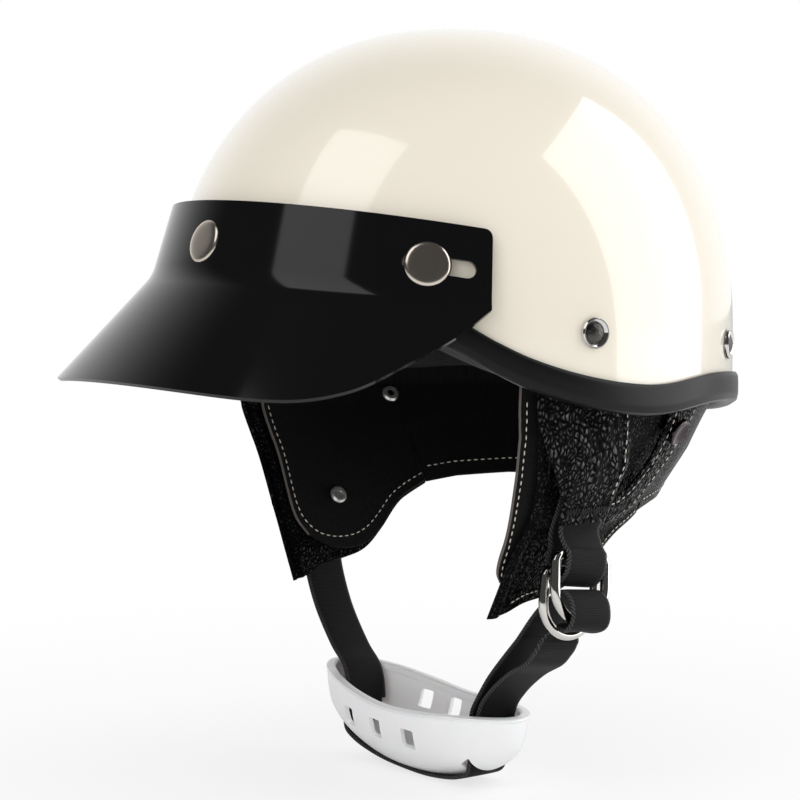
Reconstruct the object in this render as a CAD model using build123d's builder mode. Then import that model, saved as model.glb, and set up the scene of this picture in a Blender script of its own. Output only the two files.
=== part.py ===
from build123d import *
from math import cos, hypot, radians, sin, sqrt
import os

os.makedirs("parts", exist_ok=True)

# Half shell helmet. The origin is the centre of the head cavity on the level where the shell
# is widest. The wearer faces -Y, the wearer's left is +X and the crown is up. Sizes are in
# millimetres and angles in degrees.

# Shell
shell_half_width = 117.2
shell_half_length = 137.1
crown_height = 139
shell_wall = 4
crown_power = 2.2
crown_steps = 10
crown_last_angle = 88
rim_drop = 44
overrun = 5
seat_gap = 0.3

# Edge trim
trim_wall = 2.8
trim_leg = 2
trim_height = 13.5
trim_floor = 2.9
trim_gap = 0.1

# Liners
liner_thickness = 24
liner_rise = 7
pad_thickness = 8
band_top = 44
patch_radius = 12
patch_reach = 46
pad_inset = 28.6
patch_inset = 27.1
pad_split = 2
trim_room_inset = 6.4
liner_floor = -22
curtain_room_inset = 14
curtain_room_front = -53
curtain_room_top = -6
strap_room_inset = 9.6
strap_room_width = 60
strap_room_top = 19

# Layers that hang below the rim: leather, lining, straps and webbing
leather_thickness = 2
lining_thickness = 1.8
strap_leather = 2.4
strap_corner = 2
webbing_thickness = 1.8
webbing_width = 23.6
flap_inset = 9.3
flap_drop = 124
nape_split = 44
ply_gap = 0.3
strip_outset = 0.6
strip_thickness = 2.2
strip_gap = 0.5
strap_outset = 0.5
drape_rise = 50

# Visor
visor_tilt = 10.2
visor_sheet = 2
visor_band_height = 32.6
crease_level = 3.9
crease_half_width = 123.5
crease_half_length = 145.5
band_lean_width = 5.5
band_lean_length = 4.5
brim_depth = 60
brim_flare_width = 41.5
brim_flare_length = 41.5

# Visor snaps
snap_level = 18.4
snap_angle = 48
cap_radius = 10.2
cap_thickness = 2.9
cap_edge = 0.8
cap_neck_radius = 3
cap_hole = 3.2
cap_seat = 0.3
cap_flange = 0.7
cap_flange_step = 0.5
stud_flange_radius = 4
stud_flange = 0.5
stud_lift = 0.35
stud_neck_radius = 1.6
stud_head_radius = 2.3
stud_head = 1
centre_stud_reach = 2.1
side_stud_reach = 1.3
stud_hole = 1.7
stud_shank = 7
stud_foot = 0.4
stud_foot_radius = 2.6
socket_radius = 7.8
socket_cavity = 6.2
centre_cavity = 2.9
side_socket_gap = 0.6
socket_top_gap = 0.4
socket_plate = 0.5
centre_socket_gap = 1.2
washer_radius = 5
washer_high = 5.2
washer_low = 6.2
washer_room_radius = 6.5
washer_room_depth = 8.2
slot_length = 29.5
slot_height = 7.2
slot_shift = 4.6

# Strap rivets
rivet_radius = 6.8
rivet_dish = 5.3
rivet_dome = 4.5
rivet_height = 2.4
rivet_post = 1.9
rivet_hole = 2
nut_radius = 3.2
nut_hole = 3.6
nut_flange_radius = 6
nut_flange = 1.2
nut_reach = 10.1
nut_start = 4.2
rivet_seat = 1
rivet_rim = 2
rivet_foot = 0.9
rivet_post_end = 9.6
nut_room_radius = 8
nut_room_depth = 12
front_rivet_y = -21.4
front_rivet_z = 5.9
rear_rivet_y = 81.4
rear_rivet_z = -3.5

# Flap snaps
button_seat = 4.1
button_post_length = 5.6
flap_ring_seat = 4.5
button_radius = 6.4
button_height = 2.6
button_hole = 2.2
button_post = 1.8
ring_snap_radius = 4.2
ring_snap_height = 1.8
upper_snap_y = 40
upper_snap_z = -38
lower_snap_y = -5
lower_snap_z = -84

# Double rings and webbing loop
ring_wire = 2.2
ring_half_width = 14.8
ring_height = 28.6
ring_corner = 4
bar_x = 92
bar_y = -9.5
bar_z = -98.5
ring_tilt = 8
bar_apart = 5.2
bar_lift = 7
outer_ring_lean = 3
inner_ring_lean = 10
loop_top = -62
loop_seam = -85
wrap_width = 23
pinch_width = 7.2
pinch_height = 5.5
waist_level = -25.2
waist_length = 7.5

# Chin cup
cup_half_length = 63
cup_tilt = 4
cup_half_width = 25
cup_top = -154
cup_depth = 43.5
cup_wall = 2.2
cup_y = -17
cup_rim_width = 1.5
cup_rim_height = 3.2
vent_count = 3
vent_width = 7.6
vent_height = 8.4
vent_pitch = 22
vent_front_x = -4.5
vent_front_drop = -25.5
vent_rear_pitch = 19
vent_rear_x = -5.5
vent_rear_drop = -23
strap_slot_x = 45.2
strap_slot_width = 4.4
strap_slot_length = 25
strap_slot_level = 24
strap_foot = -172
strap_lean = 4.8

# Shares of the sizes above that outlines follow
rim_shares = [
    (-1.1, 0.3), (-0.88, 0.28), (-0.627, 0.05), (-0.474, -0.232), (-0.357, -0.411),
    (-0.204, -0.561), (-0.03, -0.664), (0.146, -0.698), (0.438, -0.643), (0.73, -0.716),
    (0.95, -0.9), (1.1, -1.05),
]
drape_shares = [
    (-0.25, 0, 1, 1), (-0.306, -0.035, 0.987, 1.003), (-0.42, -0.095, 0.93, 1.03),
    (-0.677, -0.184, 0.803, 0.947), (-1.02, -0.19, 0.621, 0.765),
]
curtain_shares = [
    (-0.292, -0.96), (-0.23, -0.942), (-0.168, -0.912), (-0.066, -0.895), (0.02, -0.868),
    (0.102, -0.8), (0.197, -0.7), (0.306, -0.633), (0.445, -0.597), (0.7, -0.59), (1.0, -0.6),
]
flap_front_shares = [
    (-0.379, -0.095), (-0.374, -0.2), (-0.35, -0.306), (-0.31, -0.5), (-0.292, -0.645),
]
front_strap_shares = [
    (-0.27, 0.14), (-0.05, 0.14), (-0.01, -0.08), (0.045, -0.21), (0.03, -0.4),
    (0.011, -0.52), (0.009, -0.615), (-0.17, -0.615), (-0.178, -0.52), (-0.24, -0.36),
    (-0.3, -0.21), (-0.29, -0.08),
]
rear_strap_shares = [
    (0.52, 0.08), (0.64, 0.13), (0.72, -0.02), (0.66, -0.09), (0.45, -0.185),
    (0.4, -0.27), (0.3, -0.45), (0.21, -0.58), (0.11, -0.635), (-0.03, -0.638),
    (-0.03, -0.56), (0.1, -0.55), (0.2, -0.43), (0.25, -0.235), (0.33, -0.1),
]
brim_edge_shares = [
    (0.503, 0.05), (0.62, -0.175), (0.758, -0.4), (0.93, -0.665), (1.1, -0.79), (1.36, -0.775),
]
cup_shares = [
    (0, 1.012, 1.02), (0.36, 0.99, 0.99), (0.6, 0.93, 0.92), (0.785, 0.76, 0.78),
    (0.93, 0.49, 0.54), (1, 0.2, 0.25),
]
cup_rim_shares = [
    (-1.3, 0.2), (-1, 0.2), (-0.7, 0.235), (-0.35, 0.29), (0, 0.32), (0.35, 0.29),
    (0.7, 0.235), (1, 0.2), (1.3, 0.2),
]
under_strap_shares = [
    (0.72, -0.245), (0.72, -0.497), (0.7, -0.594), (0.62, -0.643), (0.47, -0.684), (0.2, -0.717),
    (-0.2, -0.717), (-0.47, -0.684), (-0.62, -0.643), (-0.7, -0.594), (-0.72, -0.497),
    (-0.72, -0.345),
]
wrap_shares = [
    (-0.7, -1.1), (-0.448, -0.787), (-0.227, -0.545), (0, -0.372), (0.19, -0.3), (0.385, -0.43),
    (0.455, -0.66), (0.4, -0.815), (0.245, -0.878), (-0.04, -0.846), (-0.148, -0.955),
]
tail_top_shares = [(-0.158, -0.99), (-0.172, -1.09), (-0.23, -1.21), (-0.4, -1.41)]
tail_shares = [
    (1.3, 0.56), (1.23, 0.492), (1.079, 0.41), (0.96, 0.322), (0.862, 0.229), (0.786, 0.124),
    (0.746, 0.032),
]
left_strap_shares = [
    (1.133, 0.658), (1.024, 0.54), (0.897, 0.397), (0.825, 0.302), (0.751, 0.183),
    (0.702, 0.087), (0.683, 0.032),
]
right_strap_shares = [
    (-1.429, 1.167), (-1.381, 1.03), (-1.325, 0.857), (-1.175, 0.595), (-0.955, 0.34),
    (-0.8, 0.21), (-0.735, 0.1), (-0.71, 0.04),
]
anchor_shares = [(-1.47, 1.43), (-1.457, 1.333), (-1.432, 1.172)]
loop_shares = [
    (-0.135, 0.53), (-0.185, 0.36), (-0.22, 0.24), (-0.22, 0), (0, -0.22), (0.22, 0),
    (0.22, 0.27), (0.13, 0.37), (0.03, 0.53),
]


# Solid dome that follows the shell's form, drawn in by an inset, down to a floor below the rim
def dome(inset):
    half_width = shell_half_width - inset
    half_length = shell_half_length - inset
    height = crown_height - inset
    floor = -rim_drop - trim_wall - overrun
    levels = [(floor, 1), (floor / 2, 1)]
    for step in range(crown_steps + 1):
        rise = radians(crown_last_angle * step / crown_steps)
        levels.append((height * sin(rise) ** (2 / crown_power), cos(rise) ** (2 / crown_power)))
    with BuildPart() as body:
        for level, share in levels:
            with BuildSketch(Plane.XY.offset(level)):
                Ellipse(half_width * share, half_length * share)
        loft()
    return body.part


# Wall between two insets of the dome
def dome_wall(outer_inset, inner_inset):
    with BuildPart() as wall:
        add(dome(outer_inset))
        add(dome(inner_inset), mode=Mode.SUBTRACT)
    return wall.part


# Everything that lies above the rim line raised by a distance
def above_rim(rise):
    points = [(y * shell_half_length, z * rim_drop + rise) for y, z in rim_shares]
    top = crown_height + overrun
    with BuildPart() as prism:
        with BuildSketch(Plane.YZ):
            with BuildLine():
                Spline(*points)
                Polyline(points[-1], (points[-1][0], top), (points[0][0], top), points[0])
            make_face()
        extrude(amount=shell_half_width + trim_wall + overrun, both=True)
    return prism.part


# Height of the shell's outer surface's shrink at a level, as a share of its widest section
def shell_shrink(z):
    return (1 - (max(z, 0) / crown_height) ** crown_power) ** (1 / crown_power)


# Plane on the shell's outer surface: its z axis is the outward normal
def shell_plane(y, z, side, outset=0):
    shrink = shell_shrink(z)
    along = y / (shell_half_length * shrink)
    x = shell_half_width * shrink * sqrt(1 - along ** 2)
    slope = (max(z, 0) / crown_height) ** (crown_power - 1) / crown_height
    normal = Vector(
        side * x / shell_half_width ** 2 / shrink ** (2 - crown_power),
        y / shell_half_length ** 2 / shrink ** (2 - crown_power),
        slope,
    ).normalized()
    across = Vector(0, 0, 1).cross(normal)
    return Plane(origin=Vector(side * x, y, z) + normal * outset, x_dir=across, z_dir=normal)


# Oval section of the layers that hang below the rim, at one level: centre and half axes
def drape_oval(z):
    levels = [
        (
            drop * flap_drop,
            centre * shell_half_length,
            width * (shell_half_width - flap_inset),
            length * (shell_half_length - flap_inset),
        )
        for drop, centre, width, length in drape_shares
    ]
    for upper, lower in zip(levels, levels[1:]):
        if z >= lower[0]:
            break
    part_way = (z - upper[0]) / (lower[0] - upper[0])
    return [u + (v - u) * part_way for u, v in zip(upper, lower)][1:]


# Solid within the hanging layers, grown outward by one outset for each level: upright inside
# the shell and drawn in below it
def drape(outsets):
    with BuildPart() as body:
        for (drop, centre, width, length), outset in zip(drape_shares, outsets):
            with BuildSketch(Plane.XY.offset(drop * flap_drop)):
                with Locations((0, centre * shell_half_length)):
                    Ellipse(
                        width * (shell_half_width - flap_inset) + outset,
                        length * (shell_half_length - flap_inset) + outset,
                    )
        loft()
        with BuildSketch(Plane.XY.offset(drape_shares[0][0] * flap_drop)):
            Ellipse(
                shell_half_width - flap_inset + outsets[0],
                shell_half_length - flap_inset + outsets[0],
            )
        extrude(amount=drape_rise)
    return body.part


# Sheet of one thickness over the hanging layers
def drape_sheet(outsets, thickness):
    with BuildPart() as sheet:
        add(drape([outset + thickness for outset in outsets]))
        add(drape(outsets), mode=Mode.SUBTRACT)
    return sheet.part


# Plane on the hanging layers at a height, its z axis outward
def drape_plane(y, z, side, outset=0):
    centre, width, length = drape_oval(z)
    below = drape_oval(z - 1)
    along = (y - centre) / length
    x = width * sqrt(1 - along ** 2)
    lower_x = below[1] * sqrt(1 - ((y - below[0]) / below[2]) ** 2)
    normal = Vector(side * x / width ** 2, (y - centre) / length ** 2, 0).normalized()
    normal = (normal + Vector(0, 0, lower_x - x) * abs(normal.X)).normalized()
    across = Vector(0, 0, 1).cross(normal)
    return Plane(origin=Vector(side * x, y, z) + normal * outset, x_dir=across, z_dir=normal)


# Prism across the helmet whose side view is a closed outline of shares; a side of 0 is both
def side_prism(shares, drop, side, grow=0):
    points = [(y * shell_half_length, z * drop) for y, z in shares]
    with BuildPart() as prism:
        with BuildSketch(Plane.YZ):
            with BuildLine():
                Polyline(*points, close=True)
            make_face()
            fillet(vertices(), radius=strap_corner)
            if grow:
                offset(amount=grow)
        extrude(amount=(side or 1) * (shell_half_width + overrun), both=side == 0)
    return prism.part


# Prism of the curtain's side view: front edge, tip, lower edge and nape
def curtain_prism():
    lower = [(y * shell_half_length, z * flap_drop) for y, z in curtain_shares]
    front = [(y * shell_half_length, z * flap_drop) for y, z in flap_front_shares]
    with BuildPart() as prism:
        with BuildSketch(Plane.YZ):
            with BuildLine():
                Polyline(*front, lower[0])
                Spline(*lower)
                Polyline(lower[-1], (lower[-1][0], front[0][1]), front[0])
            make_face()
        extrude(amount=shell_half_width + overrun, both=True)
    return prism.part


# Block that holds one zone of the curtain: the left ear, the right ear or the nape
def curtain_zone(side, gap=0):
    reach = shell_half_width + overrun
    depth = 2 * shell_half_length
    with BuildPart() as zone:
        if side:
            with Locations((side * reach / 2, nape_split - gap - depth / 2, 0)):
                Box(reach, depth, 2 * (flap_drop + overrun))
        else:
            with Locations((0, nape_split + gap + depth / 2, 0)):
                Box(2 * reach, depth, 2 * (flap_drop + overrun))
    return zone.part


# Rod along a plane's normal, from below it to above it
def rod(plane, radius, low, high):
    with BuildPart() as body:
        with BuildSketch(plane.offset(low)):
            Circle(radius)
        extrude(amount=high - low)
    return body.part


# Round part turned about a plane's normal from a half profile of radius and height
def turned(plane, profile):
    with BuildPart() as body:
        with BuildSketch(Plane(origin=plane.origin, x_dir=plane.x_dir, z_dir=-plane.y_dir)):
            with BuildLine():
                Polyline(*profile, close=True)
            make_face()
        revolve(axis=Axis(plane.origin, plane.z_dir))
    return body.part


# Low domed cap on a plane
def dome_cap(plane, radius, height):
    with BuildPart() as body:
        with BuildSketch(Plane(origin=plane.origin, x_dir=plane.x_dir, z_dir=-plane.y_dir)):
            with BuildLine():
                Line((0, 0), (radius, 0))
                Line((radius, 0), (radius, height / 4))
                TangentArc((0, height), (radius, height / 4), tangent=(1, 0))
                Line((0, height), (0, 0))
            make_face()
        revolve(axis=Axis(plane.origin, plane.z_dir))
    return body.part


# Strip of webbing whose edge view is a curve through shares of a length, in a plane
def ribbon(plane, shares, unit, width):
    with BuildPart() as strip:
        with BuildSketch(plane):
            with BuildLine():
                Spline(*[(x * unit, y * unit) for x, y in shares])
            trace(line_width=webbing_thickness)
        extrude(amount=width / 2, both=True)
    return strip.part


# Discs of hook and loop tape that lie between the impact liner and the crown pad
def patch_discs(radius, inset):
    with BuildPart() as discs:
        add(dome_wall(inset, pad_inset - ply_gap / 3))
        with BuildPart(mode=Mode.INTERSECT):
            reach = patch_reach
            with Locations((0, 0), (reach, 0), (-reach, 0), (0, reach), (0, -reach)):
                Cylinder(radius, crown_height, align=(Align.CENTER, Align.CENTER, Align.MIN))
    return discs.part


# The visor's upright band and its flared brim as one solid, grown by an outset
def visor_cone(outset):
    sections = [
        (
            crease_level + visor_band_height,
            crease_half_width - band_lean_width,
            crease_half_length - band_lean_length,
        ),
        (crease_level, crease_half_width, crease_half_length),
        (
            crease_level - brim_depth,
            crease_half_width + brim_flare_width,
            crease_half_length + brim_flare_length,
        ),
    ]
    with BuildPart() as body:
        for level, half_width, half_length in sections:
            with BuildSketch(visor_frame.offset(level)):
                Ellipse(half_width + outset, half_length + outset)
        loft(ruled=True)
    return body.part


# Ring with one straight side, bent from round wire, hung in the loop at a place and a lean
def bent_ring(across, lift, lean):
    lean = radians(lean)
    up = ring_frame.y_dir * cos(lean) - ring_frame.x_dir * sin(lean)
    origin = ring_frame.from_local_coords(Vector(across, lift, 0))
    bend = ring_height - ring_half_width
    half = ring_half_width
    with BuildPart() as ring:
        with BuildLine(Plane.XZ):
            Line((0, 0), (half - ring_corner, 0))
            TangentArc((half - ring_corner, 0), (half, -ring_corner), tangent=(1, 0))
            Line((half, -ring_corner), (half, -bend))
            TangentArc((half, -bend), (0, -ring_height), tangent=(0, -1))
        with BuildSketch(Plane.YZ):
            Circle(ring_wire)
        sweep()
        mirror(about=Plane.YZ)
    return ring.part.moved(Plane(origin=origin, x_dir=ring_frame.z_dir, z_dir=up).location)


# Two blocks that take the edges off the webbing where it passes the first ring's bend
def wrap_waist():
    with BuildPart() as blocks:
        with BuildSketch(ring_frame):
            with Locations((0, waist_level)):
                Rectangle(waist_length, pinch_height)
        extrude(amount=wrap_width, both=True)
        with BuildSketch(ring_frame):
            with Locations((0, waist_level)):
                Rectangle(waist_length, pinch_height)
        extrude(amount=pinch_width / 2, both=True, mode=Mode.SUBTRACT)
    return blocks.part


# Solid of the chin cup at an outset, in the cup's own frame
def cup_body(outset):
    with BuildPart() as body:
        for drop, length, width in cup_shares:
            with BuildSketch(cup_frame.offset(-drop * (cup_depth + outset))):
                Ellipse(length * cup_half_length + outset, width * cup_half_width + outset)
        loft()
    return body.part


# Everything in the cup's frame that lies below its rim line, lowered by a distance
def below_cup_rim(drop):
    points = [(x * cup_half_length, -z * cup_depth - drop) for x, z in cup_rim_shares]
    floor = -cup_depth - overrun
    with BuildPart() as prism:
        with BuildSketch(cup_side):
            with BuildLine():
                Spline(*points)
                Polyline(points[-1], (points[-1][0], floor), (points[0][0], floor), points[0])
            make_face()
        extrude(amount=cup_half_width + overrun, both=True)
    return prism.part


sides = {"left": 1, "right": -1}

# Where the strap rivets stand on the shell
front_rivets = [shell_plane(front_rivet_y, front_rivet_z, side) for side in sides.values()]
rear_rivets = [shell_plane(rear_rivet_y, rear_rivet_z, side) for side in sides.values()]
all_rivets = front_rivets + rear_rivets

# The visor's own frame leans back with the rim; its y axis runs to the rear
visor_frame = Plane(
    origin=(0, 0, 0),
    x_dir=(1, 0, 0),
    z_dir=(0, sin(radians(visor_tilt)), cos(radians(visor_tilt))),
)


# Plane on the visor band's outer face at an angle from the front, its z axis outward
def band_plane(angle, outset=0):
    rise = (snap_level - crease_level) / visor_band_height
    half_width = crease_half_width - band_lean_width * rise
    half_length = crease_half_length - band_lean_length * rise
    place = Vector(half_width * sin(radians(angle)), -half_length * cos(radians(angle)), snap_level)
    lean = (band_lean_length + band_lean_width) / 2 / visor_band_height
    normal = Vector(place.X / half_width ** 2, place.Y / half_length ** 2, 0).normalized()
    normal = (normal + Vector(0, 0, lean)).normalized()
    across = Vector(0, 0, 1).cross(normal)
    origin = visor_frame.from_local_coords(place + normal * outset)
    turned_normal = visor_frame.from_local_coords(normal)
    turned_across = visor_frame.from_local_coords(across)
    return Plane(origin=origin, x_dir=turned_across, z_dir=turned_normal)


snap_planes = {
    "centre": band_plane(0),
    "left": band_plane(snap_angle),
    "right": band_plane(-snap_angle),
}


# How far the shell lies below a point along a plane's normal
def depth_to_shell(plane):
    low = 0
    high = crown_height
    for _ in range(40):
        middle = (low + high) / 2
        point = plane.origin - plane.z_dir * middle
        reach = hypot(point.X / shell_half_width, point.Y / shell_half_length)
        outside = reach ** crown_power + (max(point.Z, 0) / crown_height) ** crown_power > 1
        low, high = (middle, high) if outside else (low, middle)
    return low


# Where the visor's studs stand on the shell, below its snaps
stud_planes = {
    name: plane.offset(stud_lift - depth_to_shell(plane)) for name, plane in snap_planes.items()
}

# Profile of a snap stud that stands up to a reach
def stud_profile(reach):
    return [
        (0, -stud_shank),
        (stud_foot_radius, -stud_shank),
        (stud_foot_radius, -stud_shank + stud_foot),
        (stud_neck_radius, -stud_shank + stud_foot),
        (stud_neck_radius, 0),
        (stud_flange_radius, 0),
        (stud_flange_radius, stud_flange),
        (stud_neck_radius, stud_flange),
        (stud_head_radius, reach - stud_head / 2),
        (stud_neck_radius, reach),
        (0, reach),
    ]


# Profiles of the turned parts: radius and height above their plane
cap_profile = [
    (0, -visor_sheet - socket_top_gap),
    (cap_neck_radius, -visor_sheet - socket_top_gap),
    (cap_neck_radius, cap_seat),
    (cap_radius, cap_seat),
    (cap_radius, cap_seat + cap_flange),
    (cap_radius - cap_flange_step, cap_seat + cap_flange),
    (cap_radius - cap_flange_step, cap_thickness - cap_edge),
    (cap_radius - cap_flange_step - cap_edge, cap_thickness),
    (0, cap_thickness),
]
rivet_profile = [
    (0, -rivet_post_end),
    (rivet_post, -rivet_post_end),
    (rivet_post, seat_gap),
    (rivet_radius, seat_gap),
    (rivet_radius, rivet_foot),
    (rivet_dish + seat_gap, rivet_rim),
    (rivet_dish, rivet_rim),
    (rivet_dome, rivet_seat - ply_gap / 3),
    (0, rivet_seat - ply_gap / 3),
]
nut_profile = [
    (nut_radius, -nut_start),
    (nut_radius, nut_flange - nut_reach),
    (nut_flange_radius, nut_flange - nut_reach),
    (nut_flange_radius, -nut_reach),
    (rivet_post + seat_gap / 2, -nut_reach),
    (rivet_post + seat_gap / 2, -nut_start),
]
flap_ring_profile = [
    (button_post + seat_gap / 3, 0),
    (ring_snap_radius, 0),
    (ring_snap_radius, -ring_snap_height / 2),
    (ring_snap_radius - button_post / 2, -ring_snap_height),
    (button_post + seat_gap / 3, -ring_snap_height),
]

# Snaps that hold the flaps to the straps, and the rods that their holes take
upper_snaps = {n: drape_plane(upper_snap_y, upper_snap_z, side) for n, side in sides.items()}
lower_snaps = {n: drape_plane(lower_snap_y, lower_snap_z, side) for n, side in sides.items()}
snap_rods = [
    rod(plane, button_hole, -overrun * 2, overrun)
    for plane in [*upper_snaps.values(), *lower_snaps.values()]
]

# Outsets of the layers outside the flaps at the levels of the drape
front_strap_outsets = [strap_outset, 2.4, 7.9, 7.9, 7.9]
rear_strap_outsets = [strap_outset, 1.4, 2.4, 2.4, 2.4]
inner_leg_outset = 0.3
outer_leg_outset = 5.6
curtain_plies = [
    ("", -leather_thickness, leather_thickness),
    ("_lining", -leather_thickness - ply_gap - lining_thickness, lining_thickness),
]
strip_shares = [(-0.36, -0.055), (1.1, -0.055), (1.1, -0.4), (-0.36, -0.4)]

# Frame of the rings: x runs outward from the head, y up along the webbing
ring_lean = radians(ring_tilt)
ring_frame = Plane(
    origin=(bar_x, bar_y, bar_z), x_dir=(1, 0, 0), z_dir=(0, -cos(ring_lean), sin(ring_lean))
)
ring_places = {
    "outer": (-bar_apart / 2, 0, outer_ring_lean),
    "inner": (bar_apart / 2, bar_lift, inner_ring_lean),
}

# Frame of the chin straps, leaned back from the cup up to the seams, and frames of the cup
strap_slope = radians(strap_lean)
strap_frame = Plane(
    origin=(0, cup_y, strap_foot),
    x_dir=(1, 0, 0),
    z_dir=(0, -cos(strap_slope), sin(strap_slope)),
)
cup_slope = radians(cup_tilt)
cup_frame = Plane(
    origin=(0, cup_y, cup_top),
    x_dir=(cos(cup_slope), 0, -sin(cup_slope)),
    z_dir=(sin(cup_slope), 0, cos(cup_slope)),
)
cup_side = Plane(cup_frame.origin, x_dir=cup_frame.x_dir, z_dir=-cup_frame.y_dir)

# Outer shell: laid-up glass fibre, painted, pierced for the rivets and the visor studs
with BuildPart() as outer_shell:
    add(dome_wall(0, shell_wall))
    add(above_rim(trim_floor), mode=Mode.INTERSECT)
    for plane in all_rivets:
        add(rod(plane, rivet_hole, -shell_wall * 2, overrun), mode=Mode.SUBTRACT)
    for plane in stud_planes.values():
        add(rod(plane, stud_hole, -shell_wall * 2, overrun), mode=Mode.SUBTRACT)
outer_shell.part.label = "outer_shell"
export_step(outer_shell.part, "parts/outer_shell.step")


# Room that the shell's edge takes in its trim
def trim_channel():
    with BuildPart() as channel:
        add(dome_wall(-trim_gap, shell_wall + trim_gap))
        add(above_rim(trim_floor), mode=Mode.INTERSECT)
    return channel.part


# Edge trim: a rubber channel pushed over the shell's edge
with BuildPart() as edge_trim:
    add(dome_wall(-trim_wall, shell_wall + trim_gap + trim_leg))
    add(above_rim(0), mode=Mode.INTERSECT)
    add(above_rim(trim_height), mode=Mode.SUBTRACT)
    add(trim_channel(), mode=Mode.SUBTRACT)
edge_trim.part.label = "edge_trim"
export_step(edge_trim.part, "parts/edge_trim.step")


# Rooms in the impact liner for the curtain, the edge trim and the straps
def curtain_room():
    with BuildPart() as room:
        with Locations((0, curtain_room_front + shell_half_length, curtain_room_top - rim_drop)):
            Box(3 * shell_half_width, 2 * shell_half_length, 2 * rim_drop)
        add(dome(curtain_room_inset), mode=Mode.SUBTRACT)
    return room.part


def trim_room():
    with BuildPart() as room:
        add(dome_wall(0, trim_room_inset))
        add(above_rim(trim_height + seat_gap), mode=Mode.SUBTRACT)
    return room.part


def strap_room():
    with BuildPart() as room:
        with Locations((0, front_rivet_y, 0), (0, rear_rivet_y, 0)):
            Box(3 * shell_half_width, strap_room_width, 2 * strap_room_top)
        add(dome(strap_room_inset), mode=Mode.SUBTRACT)
    return room.part


# Impact liner: moulded foam that fills the shell, cut back at the sides and the rear for the
# curtain and pocketed for the straps, the rivets and the patches of the crown pad
with BuildPart() as impact_liner:
    add(dome_wall(shell_wall + seat_gap, shell_wall + seat_gap + liner_thickness))
    add(curtain_room(), mode=Mode.SUBTRACT)
    add(above_rim(liner_rise), mode=Mode.INTERSECT)
    with Locations((0, 0, liner_floor + crown_height)):
        Box(3 * shell_half_width, 3 * shell_half_length, 2 * crown_height, mode=Mode.INTERSECT)
    add(trim_room(), mode=Mode.SUBTRACT)
    add(strap_room(), mode=Mode.SUBTRACT)
    for plane in all_rivets:
        add(rod(plane, nut_room_radius, -nut_room_depth, 0), mode=Mode.SUBTRACT)
    for plane in stud_planes.values():
        add(rod(plane, washer_room_radius, -washer_room_depth, 0), mode=Mode.SUBTRACT)
    add(patch_discs(patch_radius + seat_gap, patch_inset - seat_gap), mode=Mode.SUBTRACT)
impact_liner.part.label = "impact_liner"
export_step(impact_liner.part, "parts/impact_liner.step")

# Hook and loop patches that hold the crown pad to the impact liner
with BuildPart() as liner_patches:
    add(patch_discs(patch_radius, patch_inset))
liner_patches.part.label = "liner_patches"
export_step(liner_patches.part, "parts/liner_patches.step")

# Comfort liner, upper part: quilted crown pad
with BuildPart() as crown_pad:
    add(dome_wall(pad_inset, pad_inset + pad_thickness))
    with Locations((0, 0, band_top + pad_split + crown_height / 2)):
        Box(3 * shell_half_width, 3 * shell_half_length, crown_height, mode=Mode.INTERSECT)
crown_pad.part.label = "crown_pad"
export_step(crown_pad.part, "parts/crown_pad.step")

# Comfort liner, lower part: padded sweat band
with BuildPart() as headband_pad:
    add(dome_wall(pad_inset, pad_inset + pad_thickness))
    add(above_rim(liner_rise), mode=Mode.INTERSECT)
    with Locations((0, 0, band_top - crown_height / 2)):
        Box(3 * shell_half_width, 3 * shell_half_length, crown_height, mode=Mode.INTERSECT)
headband_pad.part.label = "headband_pad"
export_step(headband_pad.part, "parts/headband_pad.step")


# Side outline of the visor, as a block across it
def brim_outline():
    edge = [(-y * crease_half_length, z * brim_depth) for y, z in brim_edge_shares]
    top = crease_level + visor_band_height + visor_sheet
    with BuildPart() as outline:
        with BuildSketch(Plane(visor_frame.origin, visor_frame.y_dir, visor_frame.x_dir)):
            with BuildLine():
                Spline(*edge)
                Polyline(edge[-1], (edge[-1][0], top), (edge[0][0], top), edge[0])
            make_face()
        extrude(amount=2 * crease_half_width, both=True)
    return outline.part


# Slot through the visor's band at a side snap
def snap_slot(plane, side):
    with BuildPart() as slot:
        with BuildSketch(plane.offset(-overrun)):
            with Locations((side * slot_shift, 0)):
                SlotOverall(slot_length, slot_height)
        extrude(amount=2 * overrun)
    return slot.part


# Visor: one formed sheet with an upright band against the shell, a crease and a flared brim
with BuildPart() as visor_peak:
    add(visor_cone(0))
    add(visor_cone(-visor_sheet), mode=Mode.SUBTRACT)
    add(brim_outline(), mode=Mode.INTERSECT)
    add(rod(snap_planes["centre"], cap_hole, -overrun, overrun), mode=Mode.SUBTRACT)
    for name, side in sides.items():
        add(snap_slot(snap_planes[name], side), mode=Mode.SUBTRACT)
visor_peak.part.label = "visor_peak"
export_step(visor_peak.part, "parts/visor_peak.step")

# Snap caps on the visor's outside, each with the neck that passes the sheet
for name, plane in snap_planes.items():
    with BuildPart() as visor_cap:
        add(turned(plane, cap_profile))
    visor_cap.part.label = f"visor_cap_{name}"
    export_step(visor_cap.part, f"parts/visor_cap_{name}.step")

# Snap sockets behind the sheet, open towards the studs; the side ones are wide inside, so
# that they also let go when the visor is pulled straight forward
for name, plane in snap_planes.items():
    gap, cavity = side_socket_gap, socket_cavity
    if name == "centre":
        gap, cavity = centre_socket_gap, centre_cavity
    room = depth_to_shell(plane) - gap
    with BuildPart() as visor_socket:
        add(rod(plane, socket_radius, -room, -visor_sheet - socket_top_gap))
        ceiling = -visor_sheet - socket_top_gap - socket_plate
        add(rod(plane, cavity, -room - overrun, ceiling), mode=Mode.SUBTRACT)
    visor_socket.part.label = f"visor_socket_{name}"
    export_step(visor_socket.part, f"parts/visor_socket_{name}.step")

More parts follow.
